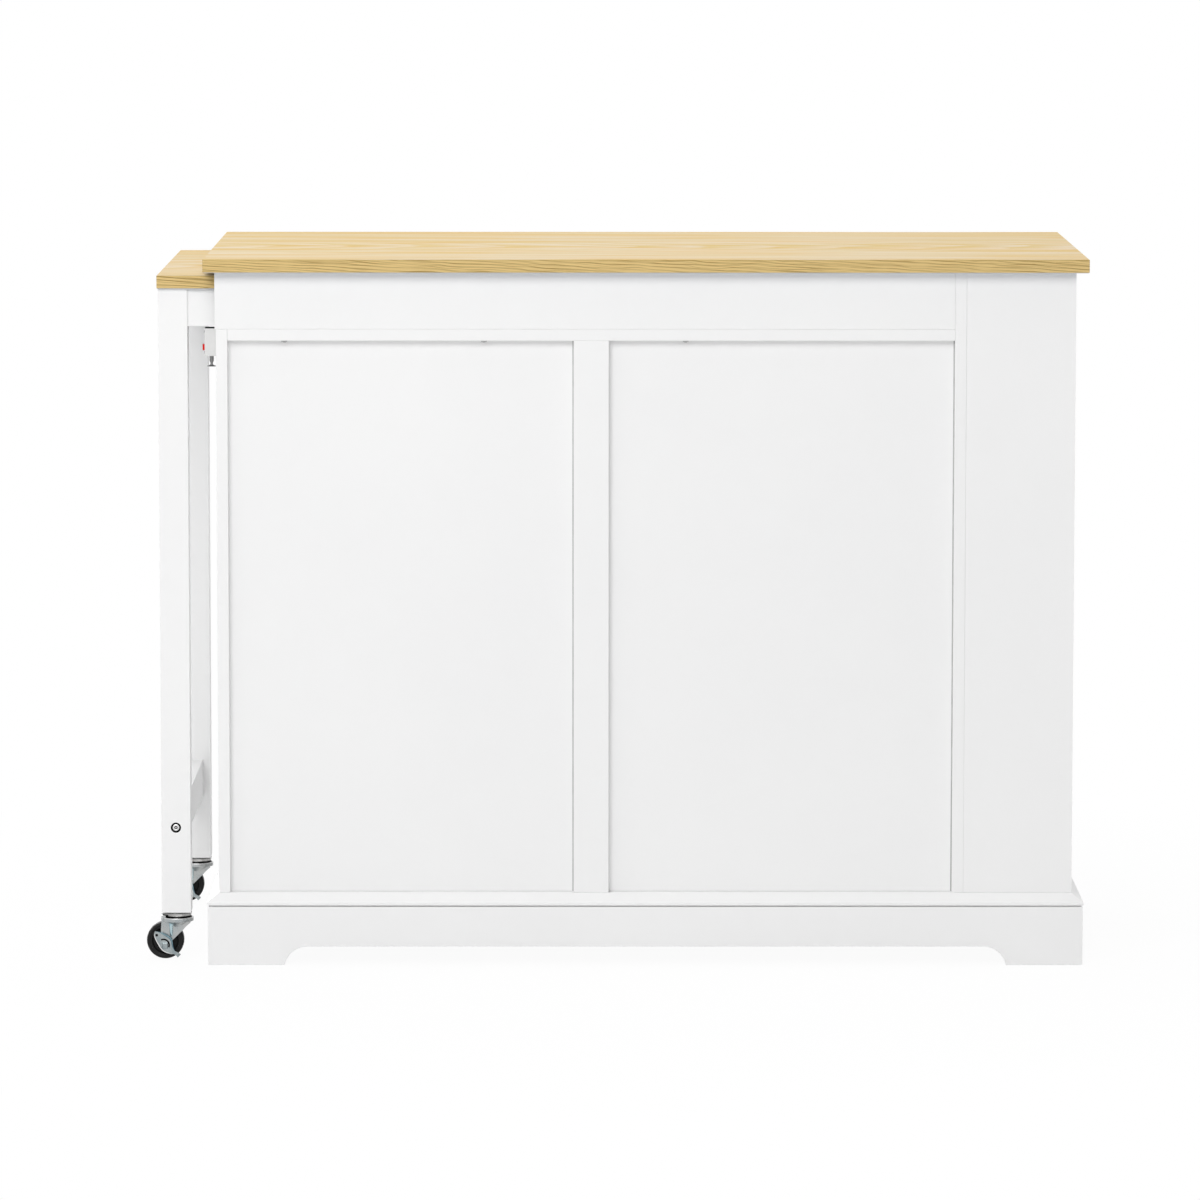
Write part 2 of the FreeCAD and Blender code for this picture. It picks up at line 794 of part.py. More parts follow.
def make_table_frame():
    table_depth = 2 * (leg_face + s.table_overhang)
    middle = (table_left + table_right) / 2
    slab("table_top", table_length, table_depth, s.table_thick, middle, cabinet_y, table_z)
    rail_height = (rail_z, table_z)
    inner_y = rail_face - s.rail_thick
    between_legs = leg_face - s.leg_width
    bar_x = (leg_x - s.rail_thick / 2, leg_x + s.rail_thick / 2)
    leg_bar_y = (cabinet_y - between_legs, cabinet_y + between_legs)

    name = "table_rail_back"
    rail_y = (cabinet_y - rail_face, cabinet_y - inner_y)
    blank = board(name + "_blank", (leg_right, table_right), rail_y, rail_height)
    radius = s.lock_pin_radius + s.lock_hole_clearance
    holes = [
        rod("lock_hole", radius, s.lock_hole_depth, "z", (x, lock_y, rail_z))
        for x in (lock_x, lock_x + s.table_travel)
    ]
    node(name, cut(name, blank, holes))
    rail_y = (cabinet_y + inner_y, cabinet_y + rail_face)
    node("table_rail_front", board("table_rail_front", (leg_right, table_right), rail_y, rail_height))
    node("table_end_rail", board("table_end_rail", bar_x, leg_bar_y, rail_height))
    inner_x = (table_right - s.rail_thick, table_right)
    inner_rail_y = (cabinet_y - inner_y, cabinet_y + inner_y)
    node("table_inner_rail", board("table_inner_rail", inner_x, inner_rail_y, rail_height))

    low = s.stretcher_level - s.stretcher_height / 2
    stretcher_z = (low, low + s.stretcher_height)
    node("table_stretcher", board("table_stretcher", bar_x, leg_bar_y, stretcher_z))


def make_legs():
    """Square legs, each with the sunk head of the bolt that holds the stretcher."""
    bolts = []
    for label, side in (("back", BACK), ("front", FRONT)):
        name = f"table_leg_{label}"
        y = cabinet_y + side * leg_offset
        half = s.leg_width / 2
        blank = board(name + "_blank", (leg_x - half, leg_x + half), (y - half, y + half), (s.castor_height, table_z))
        outer = y + side * half
        seat = outer - side * s.bolt_recess_depth
        recess_low = seat if side > 0 else outer
        recess_at = (leg_x, recess_low, s.stretcher_level)
        recess = rod("bolt_recess", s.bolt_recess_radius, s.bolt_recess_depth, "y", recess_at)
        node(name, cut(name, blank, [recess]))

        head_low = seat if side > 0 else seat - s.bolt_head_height
        socket_low = seat + s.bolt_head_height - s.hex_depth if side > 0 else seat - s.bolt_head_height
        head_at = (leg_x, head_low, s.stretcher_level)
        head = rod("bolt_head", s.bolt_head_radius, s.bolt_head_height, "y", head_at)
        socket = hexagon("bolt_socket", s.hex_key, s.hex_depth, (leg_x, socket_low, s.stretcher_level))
        bolts.append(cut("leg_bolt", head, [socket]))
    node("leg_bolts", group("leg_bolts", bolts))


# Table lock


def make_lock():
    """A pull-pin lock: the pin rises through its housing into the table rail."""
    top = bay_z - s.lock_drop
    bottom = top - s.lock_height
    half = s.lock_width / 2
    outer = left - s.lock_depth
    bore_radius = s.lock_pin_radius + s.running_clearance
    name = "lock_housing"
    blank = board(name + "_blank", (outer, left), (lock_y - half, lock_y + half), (bottom, top))
    bore = rod("lock_bore", bore_radius, s.lock_height, "z", (lock_x, lock_y, bottom))
    tab_half = s.lock_tab_width / 2
    tab_low = bottom + s.lock_tab_level
    tab_high = tab_low + s.lock_tab_height
    slot_half = tab_half + s.lock_slot_clearance
    slot_z = (tab_low - s.lock_slot_clearance, tab_high + s.lock_travel + s.lock_slot_clearance)
    slot = board("lock_slot", (outer, lock_x), (lock_y - slot_half, lock_y + slot_half), slot_z)
    node(name, cut(name, blank, [bore, slot]))

    body = new_body("lock_pin", lock_x, lock_y, bottom)
    revolve(body, "XZ_Plane", [
        (0, -s.lock_stem - s.lock_flange_height),
        (s.lock_flange_radius, -s.lock_stem - s.lock_flange_height),
        (s.lock_flange_radius, -s.lock_stem),
        (s.lock_pin_radius, -s.lock_stem),
        (s.lock_pin_radius, s.lock_height),
        (0, s.lock_height),
    ])
    node("lock_pin", body)

    tab_x = (outer - s.lock_tab_reach, lock_x)
    blank = board("lock_tab_blank", tab_x, (lock_y - tab_half, lock_y + tab_half), (tab_low, tab_high))
    seat = rod("lock_tab_seat", s.lock_pin_radius, s.lock_tab_height, "z", (lock_x, lock_y, tab_low))
    node("lock_tab", cut("lock_tab", blank, [seat]))


# Castors

fork_inner = s.wheel_width / 2 + s.wheel_air
fork_outer = fork_inner + s.fork_gauge
crown_z = 2 * s.wheel_radius + s.fork_crown_air
head_z = crown_z + s.fork_head_thick
kingpin_bore = s.kingpin_radius + s.running_clearance
axle_x = leg_x - s.wheel_trail
brake_face = fork_outer + s.brake_air


def castor_race(y):
    """The bowl-shaped race, riveted to the pin that the fork swivels on."""
    body = new_body("castor_race", leg_x, y, 0)
    head_top = crown_z - s.race_air
    head_low = head_top - s.kingpin_head_height
    low = head_z + s.race_gap
    revolve(body, "XZ_Plane", [
        (0, head_low),
        (s.kingpin_head_radius, head_low),
        (s.kingpin_head_radius, head_top),
        (s.kingpin_radius, head_top),
        (s.kingpin_radius, low),
        (s.race_throat, low),
        (s.race_radius, s.castor_height),
        (0, s.castor_height),
    ])
    return body


def castor_fork(name, y):
    """A pressed fork: a round head with a curved ear, and two ribbed cheeks that taper to the axle."""
    body = new_body(name, leg_x, y, 0)
    eye_x, eye_z, eye = -s.wheel_trail, s.wheel_radius, s.fork_eye_radius
    tail = eye_x - eye
    tip = root(s.fork_head_radius * s.fork_head_radius - fork_outer * fork_outer)
    lean_x, lean_z = s.fork_nose - eye_x, s.fork_shoulder - eye_z
    lean = root(lean_x * lean_x + lean_z * lean_z)
    slope_x, slope_z = eye * lean_z / lean, eye * lean_x / lean
    sketch = new_sketch(body, "XZ_Plane")
    outline(sketch, [
        (tail, eye_z, eye),
        (eye_x + slope_x, eye_z - slope_z),
        (s.fork_nose, s.fork_shoulder, -s.fork_sweep_radius),
        (tip, crown_z - s.fork_nose_drop),
        (tip, head_z),
        (-s.fork_heel, head_z),
    ])
    pad(body, sketch, 2 * fork_outer, symmetric=True)
    rib_x = -s.fork_rib_place
    sketch = new_sketch(body, "XZ_Plane")
    rib_low = crown_z - s.fork_rib_height
    rectangle(sketch, (rib_x - s.fork_rib_width / 2, rib_x + s.fork_rib_width / 2), (rib_low, crown_z))
    pad(body, sketch, 2 * (fork_outer + s.fork_rib_depth), symmetric=True)
    sketch = new_sketch(body, "XY_Plane", crown_z)
    circle(sketch, 0, 0, s.fork_head_radius)
    pad(body, sketch, s.fork_head_thick)
    ear_x = s.fork_ear_place
    ear_inside = s.race_radius + s.fork_air
    ear_out = root(s.fork_head_radius * s.fork_head_radius - ear_x * ear_x)
    ear_in = root(ear_inside * ear_inside - ear_x * ear_x)
    sketch = new_sketch(body, "XY_Plane", head_z)
    outline(sketch, [
        (-ear_x, ear_out, s.fork_head_radius),
        (-ear_x, -ear_out),
        (-ear_x, -ear_in, -ear_inside),
        (-ear_x, ear_in),
    ])
    pad(body, sketch, s.fork_ear_height)
    sketch = new_sketch(body, "YZ_Plane")
    rectangle(sketch, (-fork_inner, fork_inner), (0, crown_z))
    pocket(body, sketch, 4 * s.fork_head_radius, symmetric=True)
    sketch = new_sketch(body, "XY_Plane", crown_z)
    circle(sketch, 0, 0, kingpin_bore)
    pocket(body, sketch, s.fork_head_thick, reverse=True)
    sketch = new_sketch(body, "XZ_Plane")
    circle(sketch, eye_x, eye_z, s.axle_radius + s.running_clearance)
    pocket(body, sketch, 2 * fork_outer, symmetric=True)
    node(name, body)


def castor_axle(name, y):
    """The axle bolt: a hexagonal head on the far cheek and a nut outside the brake pedal."""
    brake_end = brake_face + s.brake_gauge + s.brake_boss_height + s.brake_air
    nut_end = brake_end + s.axle_head_height
    z = s.wheel_radius
    shank = rod("axle_shank", s.axle_radius, brake_end + fork_outer, "y", (axle_x, y - brake_end, z))
    head = hexagon("axle_head", s.axle_hex, s.axle_head_height, (axle_x, y + fork_outer, z))
    nut = hexagon("axle_nut", s.axle_hex, s.axle_head_height, (axle_x, y - nut_end, z))
    node(name, fuse(name, [shank, head, nut]))


def castor_wheel(name, y):
    """A moulded wheel: a broad tread round a recessed web."""
    body = new_body(name, axle_x, y, s.wheel_radius)
    half = s.wheel_width / 2
    web = half - s.wheel_recess
    bore = s.axle_radius + s.running_clearance
    revolve(body, "XY_Plane", [
        (bore, -web),
        (s.wheel_rim_radius, -web),
        (s.wheel_rim_radius, -half),
        (s.wheel_radius, -half),
        (s.wheel_radius, half),
        (s.wheel_rim_radius, half),
        (s.wheel_rim_radius, web),
        (bore, web),
    ])
    node(name, body)


def castor_brake(name, y):
    """A pressed pedal on the axle's near end: a leaf-shaped plate, a turned-out rim and a toe."""
    body = new_body(name, axle_x, y - brake_face, s.wheel_radius, s.brake_slope, "y")
    tail, tip = -s.brake_tail, s.brake_length - s.brake_tail
    sketch = new_sketch(body, "XZ_Plane")
    outline(sketch, [(tail, 0, s.brake_radius), (tip, 0, s.brake_radius)])
    pad(body, sketch, s.brake_gauge)
    sketch = new_sketch(body, "XZ_Plane")
    inset = 2 * s.brake_rim_width
    rim_radius = s.brake_radius - s.brake_rim_width
    outline(sketch, [
        (tip - inset, 0, rim_radius),
        (tail + inset, 0),
        (tail, 0, -s.brake_radius),
        (tip, 0),
    ])
    pad(body, sketch, s.brake_gauge + s.brake_rim_height)
    sketch = new_sketch(body, "XZ_Plane")
    half = s.brake_boss / 2
    rectangle(sketch, (-half, half), (-half, half))
    pad(body, sketch, s.brake_gauge + s.brake_boss_height)
    sketch = new_sketch(body, "XZ_Plane")
    toe_start = tip - s.brake_toe_width
    toe_half = s.brake_toe_width / 2
    rectangle(sketch, (toe_start, tip + s.brake_toe_length), (-toe_half, toe_half))
    pad(body, sketch, s.brake_gauge)
    sketch = new_sketch(body, "XZ_Plane")
    toe_end = tip + s.brake_toe_length
    rectangle(sketch, (toe_end - s.brake_gauge, toe_end), (-toe_half, toe_half))
    pad(body, sketch, s.brake_toe_depth)
    sketch = new_sketch(body, "XZ_Plane")
    circle(sketch, 0, 0, s.axle_radius + s.running_clearance)
    pocket(body, sketch, s.brake_gauge + s.brake_boss_height, reverse=True)
    node(name, body)


def make_castors():
    races = []
    for label, side in (("back", BACK), ("front", FRONT)):
        y = cabinet_y + side * leg_offset
        races.append(castor_race(y))
        castor_fork(f"castor_fork_{label}", y)
        castor_axle(f"castor_axle_{label}", y)
        castor_wheel(f"castor_wheel_{label}", y)
        castor_brake(f"castor_brake_{label}", y)
    node("castor_races", group("castor_races", races))


def check_document():
    """Stop on a failed feature, an empty or broken shape, or a pocket that cuts nothing."""
    for item in doc.Objects:
        if "Invalid" in item.State or "Error" in item.State:
            raise RuntimeError(f"{item.Label} failed: {item.State}")
        if item.TypeId == "PartDesign::Pocket":
            if item.Shape.Volume >= item.BaseFeature.Shape.Volume:
                raise RuntimeError(f"{item.Label} cuts nothing")
    for item in nodes:
        if item.Shape.isNull() or not item.Shape.isValid():
            raise RuntimeError(f"{item.Label} has no valid shape")


slab("worktop", s.worktop_length, s.worktop_depth, s.worktop_thick, cabinet_x, cabinet_y, worktop_z)
make_bottom_board()
make_plinth()
make_uprights()
make_bay()
make_back()
make_end_bay()
make_shelves()
make_doors()
make_slides()
make_table_frame()
make_legs()
make_lock()
make_castors()
doc.recompute()
check_document()
os.makedirs("parts", exist_ok=True)
for item in nodes:
    item.Shape.exportStep(f"parts/{item.Label}.step")
print(f"{len(nodes)} nodes written")
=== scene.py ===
"""The looks of a white kitchen island with an oak worktop and a table that pulls out on castors.

Shapes are in millimetres. Finishes, lamps, the floor and the camera are in metres.
"""
import json
import math

import bmesh
import bpy
from mathutils import Matrix, Vector


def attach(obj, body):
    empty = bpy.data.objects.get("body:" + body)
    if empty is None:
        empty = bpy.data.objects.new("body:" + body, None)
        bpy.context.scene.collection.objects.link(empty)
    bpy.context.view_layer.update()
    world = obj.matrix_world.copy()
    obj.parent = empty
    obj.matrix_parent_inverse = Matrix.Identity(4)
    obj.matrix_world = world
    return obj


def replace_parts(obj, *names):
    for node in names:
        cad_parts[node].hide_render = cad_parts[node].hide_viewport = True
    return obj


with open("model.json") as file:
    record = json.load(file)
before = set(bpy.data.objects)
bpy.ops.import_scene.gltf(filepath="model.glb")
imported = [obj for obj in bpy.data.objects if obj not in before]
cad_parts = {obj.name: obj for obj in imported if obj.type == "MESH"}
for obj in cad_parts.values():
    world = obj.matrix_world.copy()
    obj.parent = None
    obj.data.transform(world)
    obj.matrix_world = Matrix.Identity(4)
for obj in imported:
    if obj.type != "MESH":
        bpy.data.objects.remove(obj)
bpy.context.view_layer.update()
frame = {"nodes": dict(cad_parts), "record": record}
nodes = frame["nodes"]

MM = 0.001
TINY = 1e-6
MERGE_DISTANCE = 1e-7
WELD_DISTANCE = 1e-5
EASE_ANGLE = math.radians(32)
EASE_SEGMENTS = 2
UP = (0, 0, 1)

# Rounding of the solids' edges in each material slot
EASING = {
    "white_board": 0.7, "oak": 0.5, "zinc_steel": 0.25, "black_wheel": 1.6, "white_plastic": 0.6,
    "red_plastic": 0.5, "handle_metal": 1.2,
}

# The table's legs and castors: the middles of the two legs lie at these places along Y
LEGS = {"back": -244.0, "front": 235.0}
LEG_X, LEG_HALF = -575.75, 19.0
LEG_BOLT_Z = 176.0
AXLE_X, AXLE_Z = -591.25, 24.5

# The sides of the swept brake pedal, from its tail to its neck
PEDAL_SIDES = {
    1: ((-18.5, 0.2), (-15.2, 2.0), (-10.0, 4.2), (-4.0, 6.0), (1.2, 7.0), (4.8, 6.6), (8.5, 4.2),
        (12.0, 1.7), (15.5, 0.3), (19.0, -0.6)),
    -1: ((-18.5, -0.4), (-16.9, -3.4), (-14.4, -5.4), (-8.0, -8.0), (-1.2, -9.8), (3.0, -10.8),
         (7.2, -11.0), (12.0, -9.6), (16.8, -7.0), (20.0, -4.6)),
}

# The back panels between the base and the deck, their seams with the stile and the partition, where shadow is
# painted, and their clips
PANEL_FACE, BASE_TOP, DECK_UNDER = -278.5, 94.0, 819.0
SEAM_PLACES = (-53.25, 442.75)
CLIP_PLACES = (-429.5, -169.9, 92.4)

# The table lock's pin and housing
LOCK_X, LOCK_Y = -525.75, -251.5
HOUSING_LEFT, HOUSING_TOP = -534.25, 833.0

# The doors: name, hinge axis, way in from the hinge, handle, and the partition's face behind the catch
DOORS = (
    ("left", -502.25, 1, -70.75, -37.75),
    ("right", 441.75, -1, 10.25, -22.75),
)
HINGE_Y, HINGE_BOTTOMS, HINGE_LENGTH = 283.8, (186.0, 673.0), 54.0
HINGE_SCREW_Y, HINGE_SCREW_RISES, LEAF_FACE = 272.8, (9.0, 27.0, 45.0), 0.15
HINGE_TIP = ((4.0, -0.3), (3.9, 0.5), (2.6, 1.5), (0, 1.9))
FLUSH_SCREW = ((2.7, -0.05), (2.6, 0.06), (0.7, 0.06), (0.5, -0.2), (0, -0.2))
DOOR_BACK, HANDLE_SCREW_ZS = 263.5, (582.0, 712.0)
CATCH_SCREW_YS, CATCH_SCREW_Z, CATCH_DEPTH = (229.0, 254.0), 718.0, 12.0
CATCH_FACE, MAGNET_ZS, MAGNET_SUNK = 262.2, (711.0, 725.0), 0.1

# The slides' balls: the place of each race along Y, and the levels of its two rows
OUTER_ROWS, INNER_ROWS = (879.9, 841.1), (874.9, 846.1)
BALL_RACES = ((-267.25, OUTER_ROWS), (-265.05, INNER_ROWS), (258.25, OUTER_ROWS), (256.05, INNER_ROWS))
BALL_START, BALL_PITCH, BALL_COUNT, BALL_RADIUS = -344.25, 25.0, 14, 1.85

# The cupboards' walls, and the shelf brackets on them
CUPBOARDS = ((-503.25, -37.75), (-22.75, 442.75))
BRACKET_YS, BRACKET_Z, BRACKET_THICK = (-212.5, 163.5), 440.5, 2

# The oak's colours, the pale one partly a painted sheen, the table board's underside and the step from it up
# to the worktop's
OAK_DEEP, OAK_PALE, OAK_BLUSH = (0.712, 0.543, 0.240), (0.786, 0.674, 0.524), (1.0, 0.925, 0.775)
OAK_EDGE, OAK_LINE, OAK_ARRIS = (0.690, 0.510, 0.226), (0.255, 0.165, 0.044), (0.40, 0.27, 0.065)
OAK_PORE, OAK_BACKING = (0.36, 0.24, 0.085), (0.50, 0.53, 0.58)
BOARD_FOOT, BOARD_STEP = 0.885, 0.023

# The studio's lamps: name, place, target, width, height and power
LAMPS = (
    ("key", (-1.35, -4.2, 3.6), (0.0, -0.2, 0.60), 3.0, 2.4, 132.0),
    ("left", (-4.5, -2.5, 2.4), (0.0, 0.0, 0.5), 2.4, 2.4, 14.0),
    ("top", (-0.3, -0.5, 4.4), (0.0, -0.1, 0.5), 3.0, 2.0, 24.0),
    ("rear", (-0.8, 2.6, 4.2), (0.0, 0.3, 0.5), 2.6, 2.0, 56.0),
    ("front", (-2.4, 4.0, 0.45), (0.1, 0.3, 0.45), 3.0, 0.7, 48.0),
    ("right", (4.8, 0.9, 1.2), (0.5, 0.0, 0.5), 2.4, 2.0, 62.0),
)
WORLD_LIGHT = 0.395
WHITE = (1.0, 1.0, 1.0, 1.0)
FLOOR_HALF = 14.0
CAMERA_PLACE, CAMERA_TURN = (-0.03965, -9.1276, 1.4865), (83.504, -0.0268, -0.132)
CAMERA_LENS, CAMERA_SENSOR = 204.49, 36.0


class Finish:
    """A procedural material, built up node by node from places on the object."""

    def __init__(self, name):
        self.material = bpy.data.materials.new(name)
        self.material.use_nodes = True
        self.tree = self.material.node_tree
        self.shader = self.tree.nodes["Principled BSDF"]
        self.origin = Vector((0, 0, 0))

    def node(self, kind, inputs=None, **settings):
        """A new node with these settings, and with its inputs fed."""
        made = self.tree.nodes.new(kind)
        for key, value in settings.items():
            setattr(made, key, value)
        for key, value in (inputs or {}).items():
            self.feed(made.inputs[key], value)
        return made

    def feed(self, socket, value):
        """Links another socket to this one, or sets its value."""
        if isinstance(value, bpy.types.NodeSocket):
            self.tree.links.new(value, socket)
        else:
            socket.default_value = value

    def place(self, scale=(1, 1, 1), turn=(0, 0, 0), shift=(0, 0, 0)):
        """Places on the object, turned and shifted, then stretched by the scale."""
        at = self.node("ShaderNodeTexCoord").outputs["Object"]
        moved = self.node("ShaderNodeMapping", {
            "Vector": at, "Rotation": turn, "Location": Vector(shift) + self.origin})
        stretched = self.node("ShaderNodeMapping", {"Vector": moved.outputs["Vector"], "Scale": scale})
        return stretched.outputs["Vector"]

    def axis(self, vector, letter):
        """One axis of a vector."""
        return self.node("ShaderNodeSeparateXYZ", {0: vector}).outputs[letter]

    def noise(self, at, scale, detail=2.0, roughness=0.5):
        """Cloudy noise about one half."""
        return self.node("ShaderNodeTexNoise", {
            "Vector": at, "Scale": scale, "Detail": detail, "Roughness": roughness,
        }).outputs["Fac"]

    def wave(self, at, scale, distortion, detail, detail_scale, **settings):
        """A saw-toothed wave, in rings or bands."""
        return self.node("ShaderNodeTexWave", {
            "Vector": at, "Scale": scale, "Distortion": distortion, "Detail": detail,
            "Detail Scale": detail_scale,
        }, wave_profile="SAW", **settings).outputs["Fac"]

    def calc(self, operation, a, b=0.0):
        """Arithmetic on one or two values."""
        return self.node("ShaderNodeMath", {0: a, 1: b}, operation=operation).outputs[0]

    def ramp(self, value, low, high, to_low=0.0, to_high=1.0):
        """A value between low and high, carried over to another range and held at its ends."""
        return self.node("ShaderNodeMapRange", {
            "Value": value, "From Min": low, "From Max": high, "To Min": to_low, "To Max": to_high,
        }).outputs["Result"]

    def blend(self, share, a, b, how="MIX"):
        """A share of colour b over colour a. The node's colour sockets follow its other kinds."""
        mix = self.node("ShaderNodeMix", data_type="RGBA", blend_type=how)
        self.feed(mix.inputs[0], share)
        for socket, value in ((mix.inputs[6], a), (mix.inputs[7], b)):
            self.feed(socket, value if isinstance(value, bpy.types.NodeSocket) else (*value, 1.0))
        return mix.outputs[2]

    def relief(self, height, depth, strength):
        """A surface bumped by a height."""
        return self.node("ShaderNodeBump", {
            "Height": height, "Distance": depth, "Strength": strength}).outputs["Normal"]

    def done(self, **sockets):
        """Feeds the shader's sockets and gives the material."""
        for key, value in sockets.items():
            self.feed(self.shader.inputs[key.replace("_", " ")], value)
        return self.material


def white_paint():
    """Satin white paint with the faint skin of a sprayed coat."""
    f = Finish("white_paint")
    at = f.place()
    cloud = f.ramp(f.noise(at, 2.6, detail=3.0), 0.3, 0.7)
    skin_grain = f.noise(at, 620.0, roughness=0.6)
    return f.done(
        Base_Color=f.blend(cloud, (0.848, 0.848, 0.849), (0.869, 0.869, 0.868)),
        Roughness=f.ramp(f.noise(at, 38.0), 0.3, 0.7, 0.40, 0.47),
        Normal=f.relief(skin_grain, 0.00004, 0.5))


def oak_figure(f):
    """Growth rings of a log that lies at a slight slant to the board, strongest along its middle."""
    slant, skew, log_middle = math.radians(-3.6), math.radians(0.5), (0, 0.03, -0.56)
    wander = f.noise(f.place((1.4, 6.0, 6.0)), 2.2)
    bow = f.node("ShaderNodeVectorMath", {
        0: f.place(turn=(0, slant, skew), shift=log_middle),
        1: f.node("ShaderNodeCombineXYZ", {
            "Y": f.ramp(wander, 0.0, 1.0, -0.016, 0.016),
            "Z": f.ramp(wander, 0.0, 1.0, 0.007, -0.007),
        }).outputs[0],
    }, operation="ADD").outputs[0]
    growth = f.wave(bow, 44.0, 0.6, 0.0, 1.5, wave_type="RINGS", rings_direction="X")
    falling = f.calc("MULTIPLY", f.calc("SUBTRACT", 1.0, growth), 4.0)
    loops = f.calc("SUBTRACT", f.calc("MINIMUM", growth, falling), 0.4)
    off_middle = f.calc("ABSOLUTE", f.axis(bow, "Y"))
    return f.calc("MULTIPLY", loops, f.ramp(off_middle, 0.03, 0.13, 0.36, 0.06))


def oak_top(f):
    """The colour of a board's face: streaks along the board, its figure and a warm blush, paler than the
    edges partly as painted sheen.
    """
    mixed = oak_figure(f)
    for lengthwise, crosswise, skew, detail, roughness, share in (
            (0.8, 7.0, 0.003, 2.0, 0.50, 0.25),
            (1.3, 15.0, 0.006, 3.0, 0.60, 0.52),
            (1.3, 120.0, 0.004, 3.0, 0.65, 0.85)):
        at = f.place((lengthwise, crosswise, crosswise), turn=(0, 0, skew))
        mixed = f.calc("ADD", mixed, f.calc("MULTIPLY", f.noise(at, 2.0, detail, roughness), share))
    mixed = f.calc("SUBTRACT", mixed, f.calc("MULTIPLY", f.axis(f.place(), "Y"), 0.12))
    tone = f.blend(f.ramp(mixed, 0.62, 0.98), OAK_DEEP, OAK_PALE)
    blush = f.noise(f.place((1.8, 15.0, 15.0), (0, 0, -0.005), (0.37, 0.21, 0)), 2.0, roughness=0.55)
    return f.blend(f.ramp(blush, 0.44, 0.60), tone, OAK_BLUSH, "MULTIPLY")


def oak_edge(f):
    """The colour of a board's edges: two sets of slanting dark lines, and a dark arris at the top."""
    tone = OAK_EDGE
    for scale, start in ((66.0, 0.0), (92.0, 0.31)):
        shift = (start, 0, 0)
        saw = f.wave(f.place((0.20, 0.20, 1.0), (0, -0.055, 0), shift), scale, 6.5, 1.0, 1.0,
                     wave_type="BANDS", bands_direction="Z")
        strength = f.ramp(f.noise(f.place((16.0, 16.0, 60.0), shift=shift), 1.0), 0.28, 0.62)
        tone = f.blend(f.calc("MULTIPLY", f.ramp(saw, 0.66, 1.0), strength), tone, OAK_LINE)
    rise = f.calc("MODULO", f.axis(f.place(shift=(0, 0, -BOARD_FOOT)), "Z"), BOARD_STEP)
    return f.blend(f.ramp(rise, 0.0158, 0.0172, 0.0, 0.55), tone, OAK_ARRIS)


def oak(name, along_board, across_board):
    """Pale lacquered oak with fine pores and a grey backing, its pattern shifted over the board."""
    f = Finish(name)
    f.origin = Vector((along_board, across_board, 0))
    pores = f.noise(f.place((9.0, 420.0, 420.0)), 4.0, 3.0, 0.7)
    up = f.axis(f.node("ShaderNodeNewGeometry").outputs["Normal"], "Z")
    # The face is paler and less saturated than the edges: partly the wood's own tone, partly painted sheen.
    tone = f.blend(f.ramp(up, 0.5, 0.8), oak_edge(f), oak_top(f))
    tone = f.blend(f.ramp(pores, 0.56, 0.72, 0.0, 0.22), tone, OAK_PORE)
    tone = f.blend(f.ramp(up, -0.5, -0.8), tone, OAK_BACKING)
    return f.done(
        Base_Color=tone, Roughness=f.ramp(pores, 0.3, 0.7, 0.62, 0.74), Specular_IOR_Level=0.05,
        Normal=f.relief(pores, 0.00006, 0.4))


def plate(name, low, high, shine):
    """Plated steel with a cloudy passivated bloom and light rubbing."""
    f = Finish(name)
    bloom = f.noise(f.place(), 70.0, 3.0, 0.6)
    rub = f.noise(f.place((1, 1, 7.0), (0.6, 0.3, 0)), 420.0)
    return f.done(
        Base_Color=f.blend(f.ramp(bloom, 0.36, 0.64), low, high), Metallic=1.0,
        Roughness=f.ramp(f.calc("ADD", bloom, rub), 0.7, 1.3, shine - 0.05, shine + 0.07),
        Normal=f.relief(rub, 0.00003, 0.4))


def bowl_plate():
    """Bright plate with painted shade under the leg and over the bearing's gap, a painted reflection band
    between, and darker towards its left side.
    """
    f = Finish("bowl_plate")
    at = f.place()
    cloud = f.ramp(f.noise(at, 140.0, 3.0), 0.0, 1.0, -0.0008, 0.0008)
    level = f.calc("ADD", f.axis(at, "Z"), cloud)
    # Painted reflection and shade: bright above about 59 mm, darker down towards the bearing's gap.
    tone = f.blend(f.ramp(level, 0.0590, 0.0562), (0.56, 0.555, 0.545), (0.30, 0.30, 0.295))
    # Painted shade: darkest from about 60 mm up, under the leg.
    tone = f.blend(f.ramp(level, 0.0600, 0.0620), tone, (0.10, 0.10, 0.10))
    tone = f.blend(f.ramp(f.axis(at, "X"), -0.572, -0.590, 0.0, 0.7), tone, (0.09, 0.088, 0.084))
    return f.done(Base_Color=tone, Metallic=1.0, Roughness=f.ramp(cloud, -0.0004, 0.0004, 0.14, 0.22))


def black_wheel():
    """Moulded black tread with a dusty bloom."""
    f = Finish("black_tread")
    at = f.place()
    dust = f.noise(at, 160.0, 4.0, 0.6)
    return f.done(
        Base_Color=f.blend(f.ramp(dust, 0.35, 0.75), (0.004, 0.004, 0.0043), (0.011, 0.0108, 0.0108)),
        Roughness=f.ramp(dust, 0.3, 0.7, 0.38, 0.56), Specular_IOR_Level=0.22,
        Normal=f.relief(f.noise(at, 1500.0), 0.00005, 0.5))


def moulded(name, low, high, shine, gloss=0.5):
    """Moulded plastic with a fine spark-eroded grain."""
    f = Finish(name)
    at = f.place()
    grain = f.noise(at, 1800.0)
    return f.done(
        Base_Color=f.blend(f.ramp(f.noise(at, 60.0, 3.0), 0.35, 0.65), low, high),
        Roughness=f.ramp(grain, 0.3, 0.7, shine - 0.05, shine + 0.06), Specular_IOR_Level=gloss,
        Normal=f.relief(grain, 0.00004, 0.4))


